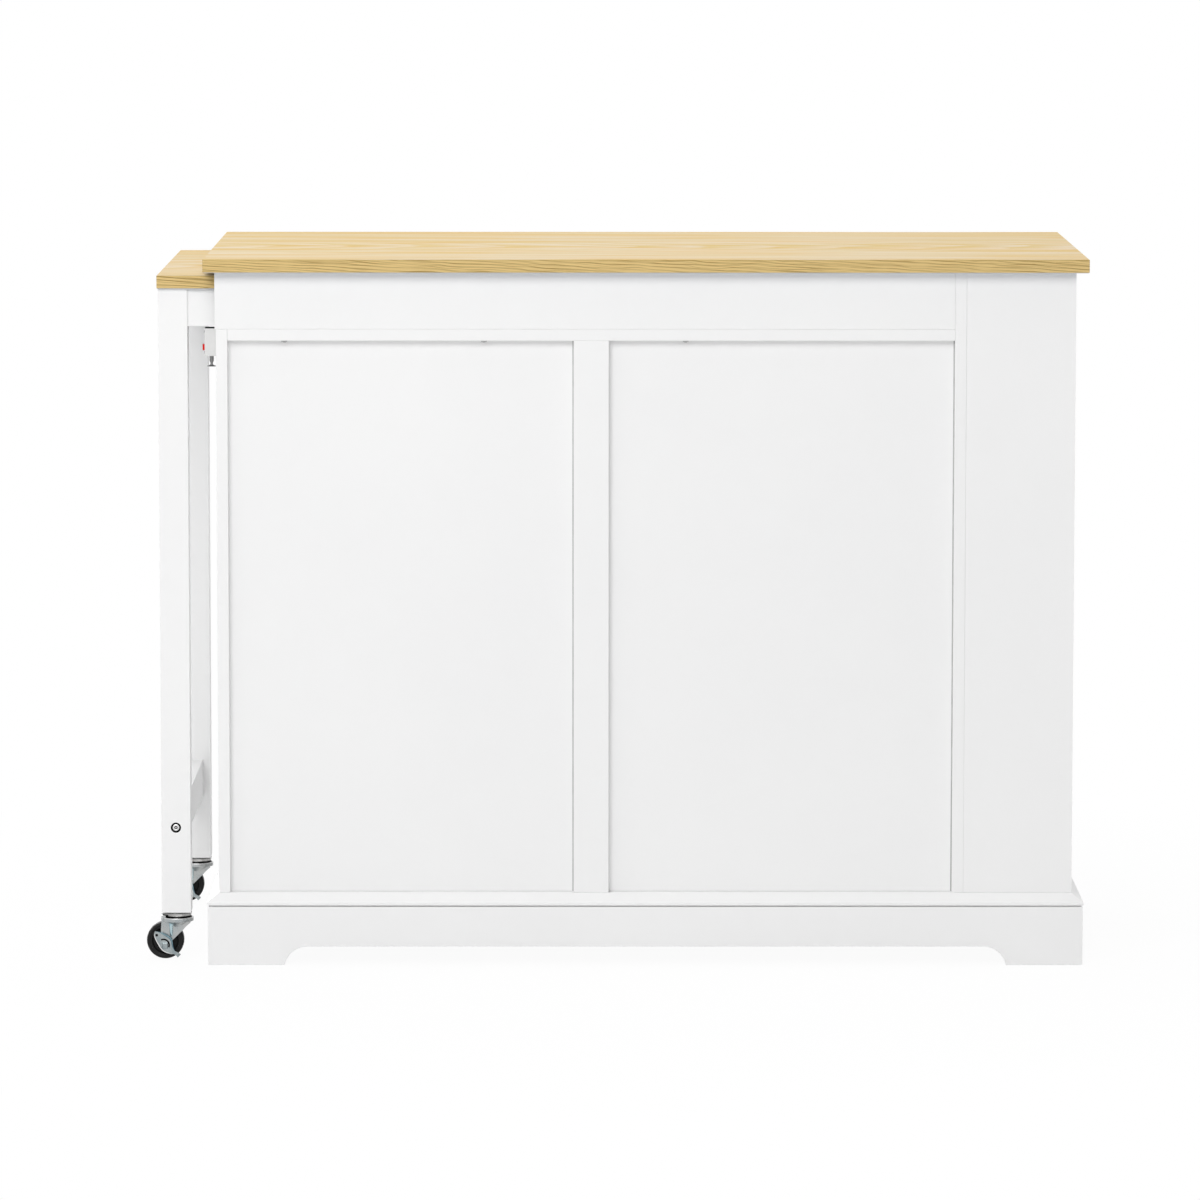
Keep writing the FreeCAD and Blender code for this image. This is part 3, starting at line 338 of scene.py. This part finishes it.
def brushed_nickel():
    """Nickel plate brushed along its length."""
    f = Finish("brushed_nickel")
    lines = f.noise(f.place((1500.0, 1500.0, 14.0)), 1.0, 3.0, 0.6)
    return f.done(
        Base_Color=f.blend(f.ramp(lines, 0.3, 0.7), (0.47, 0.455, 0.43), (0.60, 0.59, 0.565)),
        Metallic=1.0, Roughness=f.ramp(lines, 0.3, 0.7, 0.26, 0.42),
        Normal=f.relief(lines, 0.00002, 0.5))


# A finish for each material slot, and others for pieces that are made here
finishes = {
    "white_board": white_paint(),
    "oak": oak("oak", 0.0, 0.0),
    "zinc_steel": plate("zinc_plate", (0.375, 0.405, 0.415), (0.455, 0.465, 0.460), 0.28),
    "black_wheel": black_wheel(),
    "white_plastic": moulded("white_plastic", (0.66, 0.66, 0.655), (0.70, 0.70, 0.695), 0.40),
    "red_plastic": moulded("red_plastic", (0.56, 0.006, 0.003), (0.66, 0.010, 0.005), 0.45, 0.12),
    "handle_metal": brushed_nickel(),
}
# Black plastic for the magnets, also used as painted shade in the castors' bearing gaps and the slit above
# the lock.
black_and_painted_shade = moulded("black_plastic", (0.004, 0.004, 0.0042), (0.008, 0.008, 0.0082), 0.5, 0.2)
# Black used as painted shade, in the pedals' slots and holes and in the legs' bolt recesses and sockets.
shade_black = moulded("painted_shade_black", (0.003, 0.003, 0.003), (0.006, 0.006, 0.006), 0.6, 0.04)
seam_shadow = moulded("seam_shadow", (0.40, 0.40, 0.40), (0.48, 0.48, 0.48), 0.7)
grey_plastic = moulded("grey_plastic", (0.36, 0.36, 0.36), (0.42, 0.42, 0.42), 0.5)
# Bright steel for the slide balls and bolt heads, also a painted highlight on the forks' rims and the pedals'
# lips.
bright = plate("bright_steel", (0.72, 0.72, 0.72), (0.80, 0.80, 0.80), 0.30)
dull_steel = plate("dull_steel", (0.23, 0.23, 0.23), (0.28, 0.28, 0.28), 0.42)
pedal_plate = plate("pedal_plate", (0.28, 0.325, 0.34), (0.40, 0.435, 0.44), 0.24)
# Bright blue: painted highlight on the forks' ribs.
blue_highlight_plate = plate("blue_highlight_plate", (0.33, 0.475, 0.525), (0.50, 0.61, 0.635), 0.24)
# Dark blue: painted reflection on the pedals' flared rims.
rim_reflection_plate = plate("rim_reflection_plate", (0.10, 0.185, 0.235), (0.24, 0.36, 0.41), 0.22)


def ease_edges(thing, width):
    """Rounds a thing's sharp edges."""
    ease = thing.modifiers.new("ease", "BEVEL")
    ease.width = width * MM
    ease.segments = EASE_SEGMENTS
    ease.limit_method = "ANGLE"
    ease.angle_limit = EASE_ANGLE
    ease.harden_normals = True


def dress(name, slot):
    """Gives a solid its finish and eases its edges."""
    thing = nodes[name]
    thing.data.materials.clear()
    thing.data.materials.append(finishes[slot])
    weld = thing.modifiers.new("weld", "WELD")
    weld.merge_threshold = WELD_DISTANCE
    ease_edges(thing, EASING[slot])


def piece(name, body, slot, bm, finish=None, ease=0.0, sharp=35):
    """A new mesh piece that rides on a body, smooth up to the sharp angle."""
    bmesh.ops.remove_doubles(bm, verts=bm.verts, dist=MERGE_DISTANCE)
    bmesh.ops.recalc_face_normals(bm, faces=bm.faces)
    mesh = bpy.data.meshes.new(name)
    bm.to_mesh(mesh)
    bm.free()
    mesh.materials.append(finish or finishes[slot])
    mesh.shade_smooth()
    mesh.set_sharp_from_angle(angle=math.radians(sharp))
    thing = bpy.data.objects.new(name, mesh)
    bpy.context.scene.collection.objects.link(thing)
    if ease:
        ease_edges(thing, ease)
    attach(thing, body)
    return thing


def along(at, direction, side=UP):
    """A frame in millimetres at a point, with Z along a direction and Y near the side."""
    z = Vector(direction).normalized()
    x = Vector(side).cross(z)
    if x.length < TINY:
        x = Vector((1, 0, 0)).cross(z)
    x.normalize()
    turn = Matrix((x, z.cross(x), z)).transposed().to_4x4()
    return Matrix.Translation(Vector(at) * MM) @ turn @ Matrix.Scale(MM, 4)


def arc(radius, start, stop, steps, centre=(0, 0)):
    """Points on a circle from one angle to another, in degrees."""
    angles = [math.radians(start + (stop - start) * i / steps) for i in range(steps + 1)]
    return [(centre[0] + radius * math.cos(a), centre[1] + radius * math.sin(a)) for a in angles]


def hexagon(radius):
    """The corners of a hexagon."""
    return arc(radius, 0, 300, 5)


def skin(bm, rows, closed=False):
    """Joins rows of corners, each to the next, with faces. A row may be a single corner."""
    for low, high in zip(rows, rows[1:]):
        count = max(len(low), len(high))
        for i in range(count if closed else count - 1):
            j = (i + 1) % count
            corners = (low[i % len(low)], low[j % len(low)], high[j % len(high)], high[i % len(high)])
            unique = list(dict.fromkeys(corners))
            if len(unique) > 2:
                bm.faces.new(unique)


def turned(bm, frame_at, profile, steps):
    """Turns a profile of radii and heights round the frame's Z."""
    rows = []
    for radius, height in profile:
        ring = [(0, 0)] if radius < TINY else arc(radius, 0, 360 * (steps - 1) / steps, steps - 1)
        rows.append([bm.verts.new(frame_at @ Vector((*p, height))) for p in ring])
    skin(bm, rows, closed=True)


def prism(bm, frame_at, outline, low, high, shrink=1.0):
    """Extrudes a flat outline along the frame's Z, drawn in at the far end."""
    points = [Vector(p) for p in outline]
    centre = sum(points, Vector((0, 0))) / len(points)
    near = [bm.verts.new(frame_at @ Vector((*p, low))) for p in points]
    far = [bm.verts.new(frame_at @ Vector((*(centre + (p - centre) * shrink), high))) for p in points]
    bm.faces.new(near)
    bm.faces.new(far)
    skin(bm, (near, far), closed=True)


def block(bm, x, y, z):
    """A box between three pairs of places."""
    prism(bm, Matrix.Scale(MM, 4), [(x[0], y[0]), (x[1], y[0]), (x[1], y[1]), (x[0], y[1])], *z)


def screw(bm, at, direction, radius):
    """A domed screw head with a cross recess."""
    steps, height, arm, reach = 32, 0.55 * radius, 0.17, 0.62
    frame_at = along(at, direction) @ Matrix.Rotation(math.radians(20), 4, "Z")
    quarter = math.pi / 2
    rows = []
    for share, rise, crossed in (
            (1, 0, False), (1, 0.35, False), (0.86, 0.74, False), (0.68, 0.95, False),
            (1, 1.0, True), (0.7, 0.25, True)):
        row = []
        for i in range(steps):
            angle = math.tau * i / steps
            r = radius * share
            if crossed:
                fold = abs((angle + quarter / 2) % quarter - quarter / 2)
                r *= min(reach, arm / max(math.sin(fold), TINY))
            corner = Vector((r * math.cos(angle), r * math.sin(angle), height * rise))
            row.append(bm.verts.new(frame_at @ corner))
        rows.append(row)
    skin(bm, rows, closed=True)
    bm.faces.new(rows[-1])


def castor_heads():
    """Pressed bowls over the swivel bearings, with painted shade and reflection on them, and black rings that
    are painted shade in the gap below them.
    """
    bowls, gap_shades = bmesh.new(), bmesh.new()
    for y in LEGS.values():
        at = along((LEG_X, y, 0), UP)
        turned(bowls, at, [
            (0, 62.95), (18.9, 62.95), (19.25, 62.6), (19.25, 61.6), (19.1, 59.9), (18.8, 58.2),
            (18.3, 56.9), (17.7, 56.25), (16.8, 56.05), (15.7, 56.0), (15.5, 55.8), (15.4, 55.4),
            (5.0, 55.3), (4.0, 55.2), (4.0, 49.7), (5.0, 49.6), (5.0, 48.3), (4.6, 48.1), (0, 48.1),
        ], steps=64)
        # Black rings in the bearing's gap: painted shade, not a part.
        turned(gap_shades, at, [
            (15.5, 55.02), (19.75, 55.02), (19.8, 55.2), (18.6, 55.5), (17.4, 55.85), (15.6, 55.95),
            (15.5, 55.02),
        ], steps=64)
    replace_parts(piece("castor_bowls", "table", "zinc_steel", bowls, bowl_plate(), sharp=60), "castor_races")
    piece("castor_gap_shade", "table", "black_wheel", gap_shades, black_and_painted_shade, sharp=70)


def castor_collars():
    """The forks' upper rims, coloured bright as a painted highlight, and the collars that flare from the
    cheeks out to them.
    """
    cheek_half, steps = 10.3, 24
    flare = ((12.0, 43.0), (13.2, 44.8), (14.8, 46.7), (16.8, 48.7), (18.9, 50.5), (20.5, 51.9),
             (21.35, 53.2), (21.45, 54.2))
    for label, y in LEGS.items():
        body = f"castor_fork_{label}"
        bm = bmesh.new()
        turned(bm, along((LEG_X, y, 0), UP), [
            (19.8, 54.8), (19.8, 55.05), (20.1, 55.2), (20.9, 55.2), (21.35, 55.0), (21.45, 54.5),
            (21.4, 54.0), (19.8, 54.8),
        ], steps=64)
        # Bright finish on the rim: a painted highlight.
        piece(f"castor_cup_{label}", body, "zinc_steel", bm, bright, sharp=60)
        bm = bmesh.new()
        for face in (-1, 1):
            rows = []
            for radius, z in flare:
                first = math.degrees(math.asin(cheek_half / radius))
                rows.append([bm.verts.new(Vector((LEG_X + u, y + face * v, z)) * MM)
                             for u, v in arc(radius, first, 180 - first, steps)])
            skin(bm, rows)
        piece(f"castor_collar_{label}", body, "zinc_steel", bm, sharp=80)


def castor_wheels():
    """Wheels with round shoulders, a ringed side, a recessed web and a hub."""
    half = [(3.1, 9.3), (6.6, 9.3), (7.2, 8.9), (7.4, 6.2), (15.6, 5.8), (16.5, 6.2), (16.9, 7.0),
            (17.0, 7.9), (17.5, 8.5), (18.3, 8.7), (19.0, 8.4), (19.4, 8.4), (20.0, 8.8), (21.6, 9.0),
            (23.0, 8.5), (24.0, 7.4), (24.4, 6.0), (24.5, 4.0)]
    profile = [(r, -h) for r, h in half] + half[::-1]
    for label, y in LEGS.items():
        body = f"castor_wheel_{label}"
        bm = bmesh.new()
        turned(bm, along((AXLE_X, y, AXLE_Z), (0, 1, 0)), profile + profile[:1], steps=96)
        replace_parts(piece(f"castor_tyre_{label}", body, "black_wheel", bm, sharp=50), body)


def castor_ribs():
    """Rounded ribs pressed into the fork's cheeks, bluish plating made brighter than the cheeks as a painted
    highlight.
    """
    set_back, cheek, steps = 7.4, 11.85, 12
    sections = ((30.5, 1.2, 0.0), (32.0, 3.0, 1.0), (36.0, 4.4, 1.9), (42.0, 5.0, 2.1), (46.5, 5.4, 1.8),
                (49.5, 5.8, 1.0), (51.5, 6.0, 0.1))
    for label, y in LEGS.items():
        bm = bmesh.new()
        for face in (-1, 1):
            at = along((LEG_X - set_back, y + face * cheek, 0), (0, face, 0))
            skin(bm, [
                [bm.verts.new(at @ Vector((-0.5 * width * u, z, rise * v))) for u, v in arc(1, 0, 180, steps)]
                for z, width, rise in sections])
        # The ribs' bright blue is a painted highlight.
        piece(f"castor_rib_{label}", f"castor_fork_{label}", "zinc_steel", bm, blue_highlight_plate, sharp=80)


def pedal_edge(sign, inset):
    """One side of the pedal's leaf, drawn in between its ends, with its corners rounded twice."""
    corners = PEDAL_SIDES[sign]
    last = len(corners) - 1
    line = [Vector((u, v - sign * inset * math.sin(math.pi * i / last))) for i, (u, v) in enumerate(corners)]
    for _ in range(2):
        cut = [p for a, b in zip(line, line[1:]) for p in (a.lerp(b, 0.25), a.lerp(b, 0.75))]
        line = [line[0], *cut, line[-1]]
    return [tuple(p) for p in line]


def pedal_rim(at, sign, height, flare):
    """A rim along one side of the leaf, which leans out between its ends."""
    bm = bmesh.new()
    foot, thick = 1.4, 1.3
    outer, inner = pedal_edge(sign, 0), pedal_edge(sign, thick)
    last = len(outer) - 1
    rows = []
    for line, level, lean in (
            (inner, foot, 0), (inner, height, 0.8 * flare), (outer, height, flare), (outer, foot, 0)):
        rows.append([
            bm.verts.new(at @ Vector((u, v + sign * lean * math.sin(math.pi * i / last), level)))
            for i, (u, v) in enumerate(line)])
    skin(bm, rows + rows[:1])
    for end in (0, -1):
        bm.faces.new([row[end] for row in rows])
    return bm


def castor_pedals():
    """Pressed brake pedals: a swept leaf, flared rims, a folded cover beside the slot and a bent toe; the
    rims carry a painted reflection and highlight, and the slot and tail hole are painted shade.
    """
    beside_leg, thick = 12.3, 1.6
    neck, neck_low, neck_high = 18.0, -4.6, -0.3
    toe, toe_low, toe_high, toe_height = 27.0, -3.4, 2.0, 7.0
    cover = arc(5.6568, 90, -180, 3, centre=(4.4, -4.4))
    slot_middle = (2.3, -5.3)
    slot = arc(8.5, 22, 160, 14, slot_middle) + arc(6.5, 160, 22, 14, slot_middle)
    hole, hole_profile = (-13.2, -2.4, 0), ((0, 1.8), (1.6, 1.8), (1.8, 1.65), (1.8, 1.4))
    for label, y in LEGS.items():
        body = f"castor_brake_{label}"
        at = along((AXLE_X, y - beside_leg, AXLE_Z), (0, -1, 0), (1, 0, 1))
        bm = bmesh.new()
        prism(bm, at, pedal_edge(1, 0) + pedal_edge(-1, 0)[::-1], 0, thick)
        prism(bm, at, [(neck, neck_low), (toe, toe_low), (toe, toe_high), (neck, neck_high)], 0, 1.7)
        prism(bm, at, [(toe - thick, toe_low), (toe, toe_low), (toe, toe_high), (toe - thick, toe_high)],
              thick, toe_height, shrink=0.92)
        prism(bm, at, cover, 1.5, 3.9, shrink=0.8)
        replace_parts(piece(f"castor_pedal_{label}", body, "zinc_steel", bm, pedal_plate, ease=0.35), body)
        # The rim's dark blue is a painted reflection.
        rim = pedal_rim(at, 1, height=4.4, flare=1.7)
        piece(f"castor_rim_{label}", body, "zinc_steel", rim, rim_reflection_plate, ease=0.3)
        # The lip's bright finish is a painted highlight along the lower edge.
        lip = pedal_rim(at, -1, height=2.9, flare=0.6)
        piece(f"castor_lip_{label}", body, "zinc_steel", lip, bright, ease=0.3)
        # Black slot and tail hole: painted shade in the openings.
        bm = bmesh.new()
        prism(bm, at, slot, 1.5, 2.1)
        turned(bm, at @ Matrix.Translation(hole), hole_profile, steps=24)
        piece(f"castor_slot_shades_{label}", body, "black_wheel", bm, shade_black)


def castor_axles():
    """Axle bolts: a hexagonal head behind, and an end let into the pedal."""
    for label, y in LEGS.items():
        bm = bmesh.new()
        at = along((AXLE_X, y, AXLE_Z), (0, -1, 0))
        turned(bm, at, [(0, -13.0), (2.95, -13.0), (2.95, 13.3), (2.6, 13.6), (0, 13.6)], steps=28)
        prism(bm, at, hexagon(6.35), -14.4, -11.95)
        turned(bm, at, [(0, -14.9), (4.0, -14.9), (5.2, -14.4), (0, -14.4)], steps=28)
        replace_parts(piece(f"castor_rivet_{label}", f"castor_fork_{label}", "zinc_steel", bm, ease=0.25),
                    f"castor_axle_{label}")


def leg_bolts():
    """Bright bolt heads with hexagonal sockets, and black rings painted as the shade in the legs' recesses
    round them and in the sockets.
    """
    heads, recess_shades = bmesh.new(), bmesh.new()
    for label, out in (("back", -1), ("front", 1)):
        at = along((LEG_X, LEGS[label] + out * LEG_HALF, LEG_BOLT_Z), (0, out, 0))
        turned(heads, at, [
            (0, -5.9), (4.5, -5.9), (4.5, -1.0), (4.3, -0.6), (3.8, -0.35), (2.6, -0.3), (2.35, -0.45),
            (2.35, -0.9), (0.9, -0.9), (0.85, -0.8), (0, -0.8),
        ], steps=36)
        # Black rings in the recess and the socket: painted shade.
        turned(recess_shades, at, [
            (4.55, -5.9), (4.55, -0.25), (4.9, 0.05), (6.2, 0.15), (6.7, 0.1), (6.75, 0.02), (6.4, 0.0),
            (6.4, -5.9), (4.55, -5.9),
        ], steps=48)
        outer, inner = hexagon(2.3), hexagon(1.0)
        for i in range(6):
            j = (i + 1) % 6
            prism(recess_shades, at, [outer[i], outer[j], inner[j], inner[i]], -0.88, -0.7)
    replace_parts(piece("leg_bolt_heads", "table", "zinc_steel", heads, bright), "leg_bolts")
    piece("leg_recess_shades", "table", "black_wheel", recess_shades, shade_black)


def panel_seam_shadows():
    """Grey strips painted as the shadow in the narrow gaps where the back panels run into the stile and the
    partition.
    """
    bm = bmesh.new()
    for x in SEAM_PLACES:
        block(bm, (x - 1.6, x - 0.02), (PANEL_FACE - 0.25, PANEL_FACE + 0.1),
              (BASE_TOP + 0.6, DECK_UNDER - 0.4))
    piece("panel_seam_shadows", "cabinet", "white_board", bm, seam_shadow)


def panel_clips():
    """Small clips that hold the back panels under the deck's edge."""
    bm = bmesh.new()
    inner = PANEL_FACE - 0.1
    for x in CLIP_PLACES:
        block(bm, (x - 3.8, x + 3.8), (inner - 8.8, inner), (DECK_UNDER - 1.4, DECK_UNDER))
        block(bm, (x - 1.8, x + 1.8), (inner - 1.0, inner), (DECK_UNDER - 2.8, DECK_UNDER - 1.3))
    piece("panel_clips", "cabinet", "white_plastic", bm, grey_plastic, ease=0.4)


def lock_details():
    """The lock's turned pin, a black strip round its top painted as the shade of the slit above the housing,
    and the screws that hold its housing.
    """
    bm = bmesh.new()
    turned(bm, along((LOCK_X, LOCK_Y, 0), UP), [
        (0, 782.8), (5.9, 782.8), (6.2, 783.0), (6.0, 783.4), (3.4, 784.2), (1.9, 785.2), (1.6, 786.4),
        (1.8, 788.0), (2.6, 789.4), (2.85, 790.4), (2.85, 832.6), (2.4, 832.95), (0, 832.95),
    ], steps=32)
    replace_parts(piece("lock_pin_turned", "lock", "zinc_steel", bm, dull_steel), "lock_pin")
    # Black strips at the housing's top: painted shade of the slit there.
    bm = bmesh.new()
    left, level = HOUSING_LEFT + 0.25, (HOUSING_TOP - 0.1, HOUSING_TOP + 0.9)
    for length, near, far in ((15.0, -9.7, -4.5), (15.0, 4.5, 9.7), (4.0, -4.6, 4.6)):
        block(bm, (left, left + length), (LOCK_Y + near, LOCK_Y + far), level)
    piece("lock_slit_shade", "cabinet", "black_wheel", bm, black_and_painted_shade, ease=0.3)
    bm = bmesh.new()
    for z in (801.0, 828.0):
        screw(bm, (HOUSING_LEFT, LOCK_Y, z), (-1, 0, 0), radius=2.2)
    piece("lock_screws", "cabinet", "zinc_steel", bm)


def door_fittings():
    """Hinge tips and flush hinge screws, the handles' screws, and the catches' magnets and screws."""
    tips, screws, magnets, poles = bmesh.new(), bmesh.new(), bmesh.new(), bmesh.new()
    for label, hinge, inward, handle, wall in DOORS:
        caps, flush = bmesh.new(), bmesh.new()
        for z in HINGE_BOTTOMS:
            turned(tips, along((hinge, HINGE_Y, z), (0, 0, -1)), HINGE_TIP, steps=24)
            turned(caps, along((hinge, HINGE_Y, z + HINGE_LENGTH), UP), HINGE_TIP, steps=24)
            for rise in HINGE_SCREW_RISES:
                for bm, way in ((screws, inward), (flush, -inward)):
                    at = (hinge - way * LEAF_FACE, HINGE_SCREW_Y, z + rise)
                    turned(bm, along(at, (way, 0, 0)), FLUSH_SCREW, steps=20)
        for z in HANDLE_SCREW_ZS:
            screw(flush, (handle, DOOR_BACK, z), (0, -1, 0), radius=4.0)
        for y in CATCH_SCREW_YS:
            screw(screws, (wall - inward * CATCH_DEPTH, y, CATCH_SCREW_Z), (-inward, 0, 0), radius=2.8)
        for bm, near, far, proud in (
                (magnets, 2.6, 9.4, 0.08), (poles, 1.2, 2.5, 0.16), (poles, 9.5, 10.8, 0.16)):
            block(bm, sorted((wall - inward * near, wall - inward * far)),
                  (CATCH_FACE - MAGNET_SUNK, CATCH_FACE + proud), MAGNET_ZS)
        piece(f"hinge_caps_{label}", f"door_{label}", "zinc_steel", caps, sharp=60)
        piece(f"door_screws_{label}", f"door_{label}", "zinc_steel", flush, sharp=40)
    piece("hinge_tips", "cabinet", "zinc_steel", tips, sharp=60)
    piece("fitting_screws", "cabinet", "zinc_steel", screws, sharp=40)
    piece("catch_magnets", "cabinet", "black_wheel", magnets, black_and_painted_shade)
    piece("catch_poles", "cabinet", "zinc_steel", poles)


def slide_balls():
    """Steel balls that show through the cages of the telescopic slides."""
    bm = bmesh.new()
    for y, rows in BALL_RACES:
        for z in rows:
            for i in range(BALL_COUNT):
                at = Vector((BALL_START + BALL_PITCH * i, y, z)) * MM
                bmesh.ops.create_uvsphere(bm, u_segments=10, v_segments=8, radius=BALL_RADIUS * MM,
                                          matrix=Matrix.Translation(at))
    piece("slide_balls", "slide_middle", "zinc_steel", bm, bright, sharp=80)


def shelf_screws():
    """A domed screw in each shelf bracket."""
    bm = bmesh.new()
    for left, right in CUPBOARDS:
        for y in BRACKET_YS:
            screw(bm, (left + BRACKET_THICK, y, BRACKET_Z), (1, 0, 0), radius=3.2)
            screw(bm, (right - BRACKET_THICK, y, BRACKET_Z), (-1, 0, 0), radius=3.2)
    piece("shelf_screws", "cabinet", "zinc_steel", bm, sharp=40)


def white_rays(tree):
    """One where the ray comes from the camera, a mirror or through glass."""
    path = tree.nodes.new("ShaderNodeLightPath")
    total = path.outputs["Is Camera Ray"]
    for key in ("Is Glossy Ray", "Is Transmission Ray"):
        larger = tree.nodes.new("ShaderNodeMath")
        larger.operation = "MAXIMUM"
        tree.links.new(total, larger.inputs[0])
        tree.links.new(path.outputs[key], larger.inputs[1])
        total = larger.outputs[0]
    return total


def room():
    """An even white room that gives little light, and looks white to the camera and in mirrors."""
    world = bpy.data.worlds.new("studio")
    bpy.context.scene.world = world
    world.use_nodes = True
    tree = world.node_tree
    mix = tree.nodes.new("ShaderNodeMixShader")
    tree.links.new(white_rays(tree), mix.inputs[0])
    lit, seen = tree.nodes["Background"], tree.nodes.new("ShaderNodeBackground")
    for background, strength, socket in ((lit, WORLD_LIGHT, 1), (seen, 1.0, 2)):
        background.inputs["Color"].default_value = WHITE
        background.inputs["Strength"].default_value = strength
        tree.links.new(background.outputs[0], mix.inputs[socket])
    tree.links.new(mix.outputs[0], tree.nodes["World Output"].inputs["Surface"])


def lamp(name, at, target, width, height, power):
    """A rectangular lamp that the camera doesn't see."""
    data = bpy.data.lights.new(name, "AREA")
    data.shape = "RECTANGLE"
    data.size, data.size_y = width, height
    data.energy = power
    thing = bpy.data.objects.new(name, data)
    bpy.context.scene.collection.objects.link(thing)
    thing.visible_camera = False
    thing.location = at
    thing.rotation_euler = (Vector(target) - Vector(at)).to_track_quat("-Z", "Y").to_euler()


def floor():
    """A pale floor that keeps a faint shadow and fades into white."""
    r = FLOOR_HALF
    mesh = bpy.data.meshes.new("floor")
    mesh.from_pydata([(-r, -r, 0), (r, -r, 0), (r, r, 0), (-r, r, 0)], [], [(0, 1, 2, 3)])
    thing = bpy.data.objects.new("floor", mesh)
    bpy.context.scene.collection.objects.link(thing)
    f = Finish("floor")
    at = f.place()
    f.done(Base_Color=f.blend(f.noise(at, 1.5), (0.89, 0.89, 0.89), (0.91, 0.91, 0.91)), Roughness=0.9)
    glow = f.node("ShaderNodeEmission", {"Color": WHITE, "Strength": 1.0})
    away = f.node("ShaderNodeVectorMath", {0: at}, operation="LENGTH").outputs["Value"]
    share = f.calc("MULTIPLY", white_rays(f.tree), f.ramp(away, 0.7, 1.4, 0.95, 1.0))
    mix = f.node("ShaderNodeMixShader", {0: share, 1: f.shader.outputs[0], 2: glow.outputs[0]})
    f.feed(f.tree.nodes["Material Output"].inputs["Surface"], mix.outputs[0])
    mesh.materials.append(f.material)


def camera():
    """A long lens that faces the closed back, from a little above the worktop."""
    data = bpy.data.cameras.new("camera")
    data.lens = CAMERA_LENS
    data.sensor_width = CAMERA_SENSOR
    thing = bpy.data.objects.new("camera", data)
    bpy.context.scene.collection.objects.link(thing)
    thing.location = CAMERA_PLACE
    thing.rotation_euler = tuple(math.radians(v) for v in CAMERA_TURN)
    bpy.context.scene.camera = thing


for part in frame["record"]["subparts"]:
    dress(part["node"], part["material_slot"])
nodes["table_top"].data.materials[0] = oak("oak_table", 0.83, 0.06)
castor_heads()
castor_collars()
castor_wheels()
castor_ribs()
castor_pedals()
castor_axles()
leg_bolts()
panel_seam_shadows()
panel_clips()
lock_details()
door_fittings()
slide_balls()
shelf_screws()

bpy.context.scene.view_settings.view_transform = "Standard"
room()
for row in LAMPS:
    lamp(*row)
floor()
camera()
bpy.context.view_layer.update()
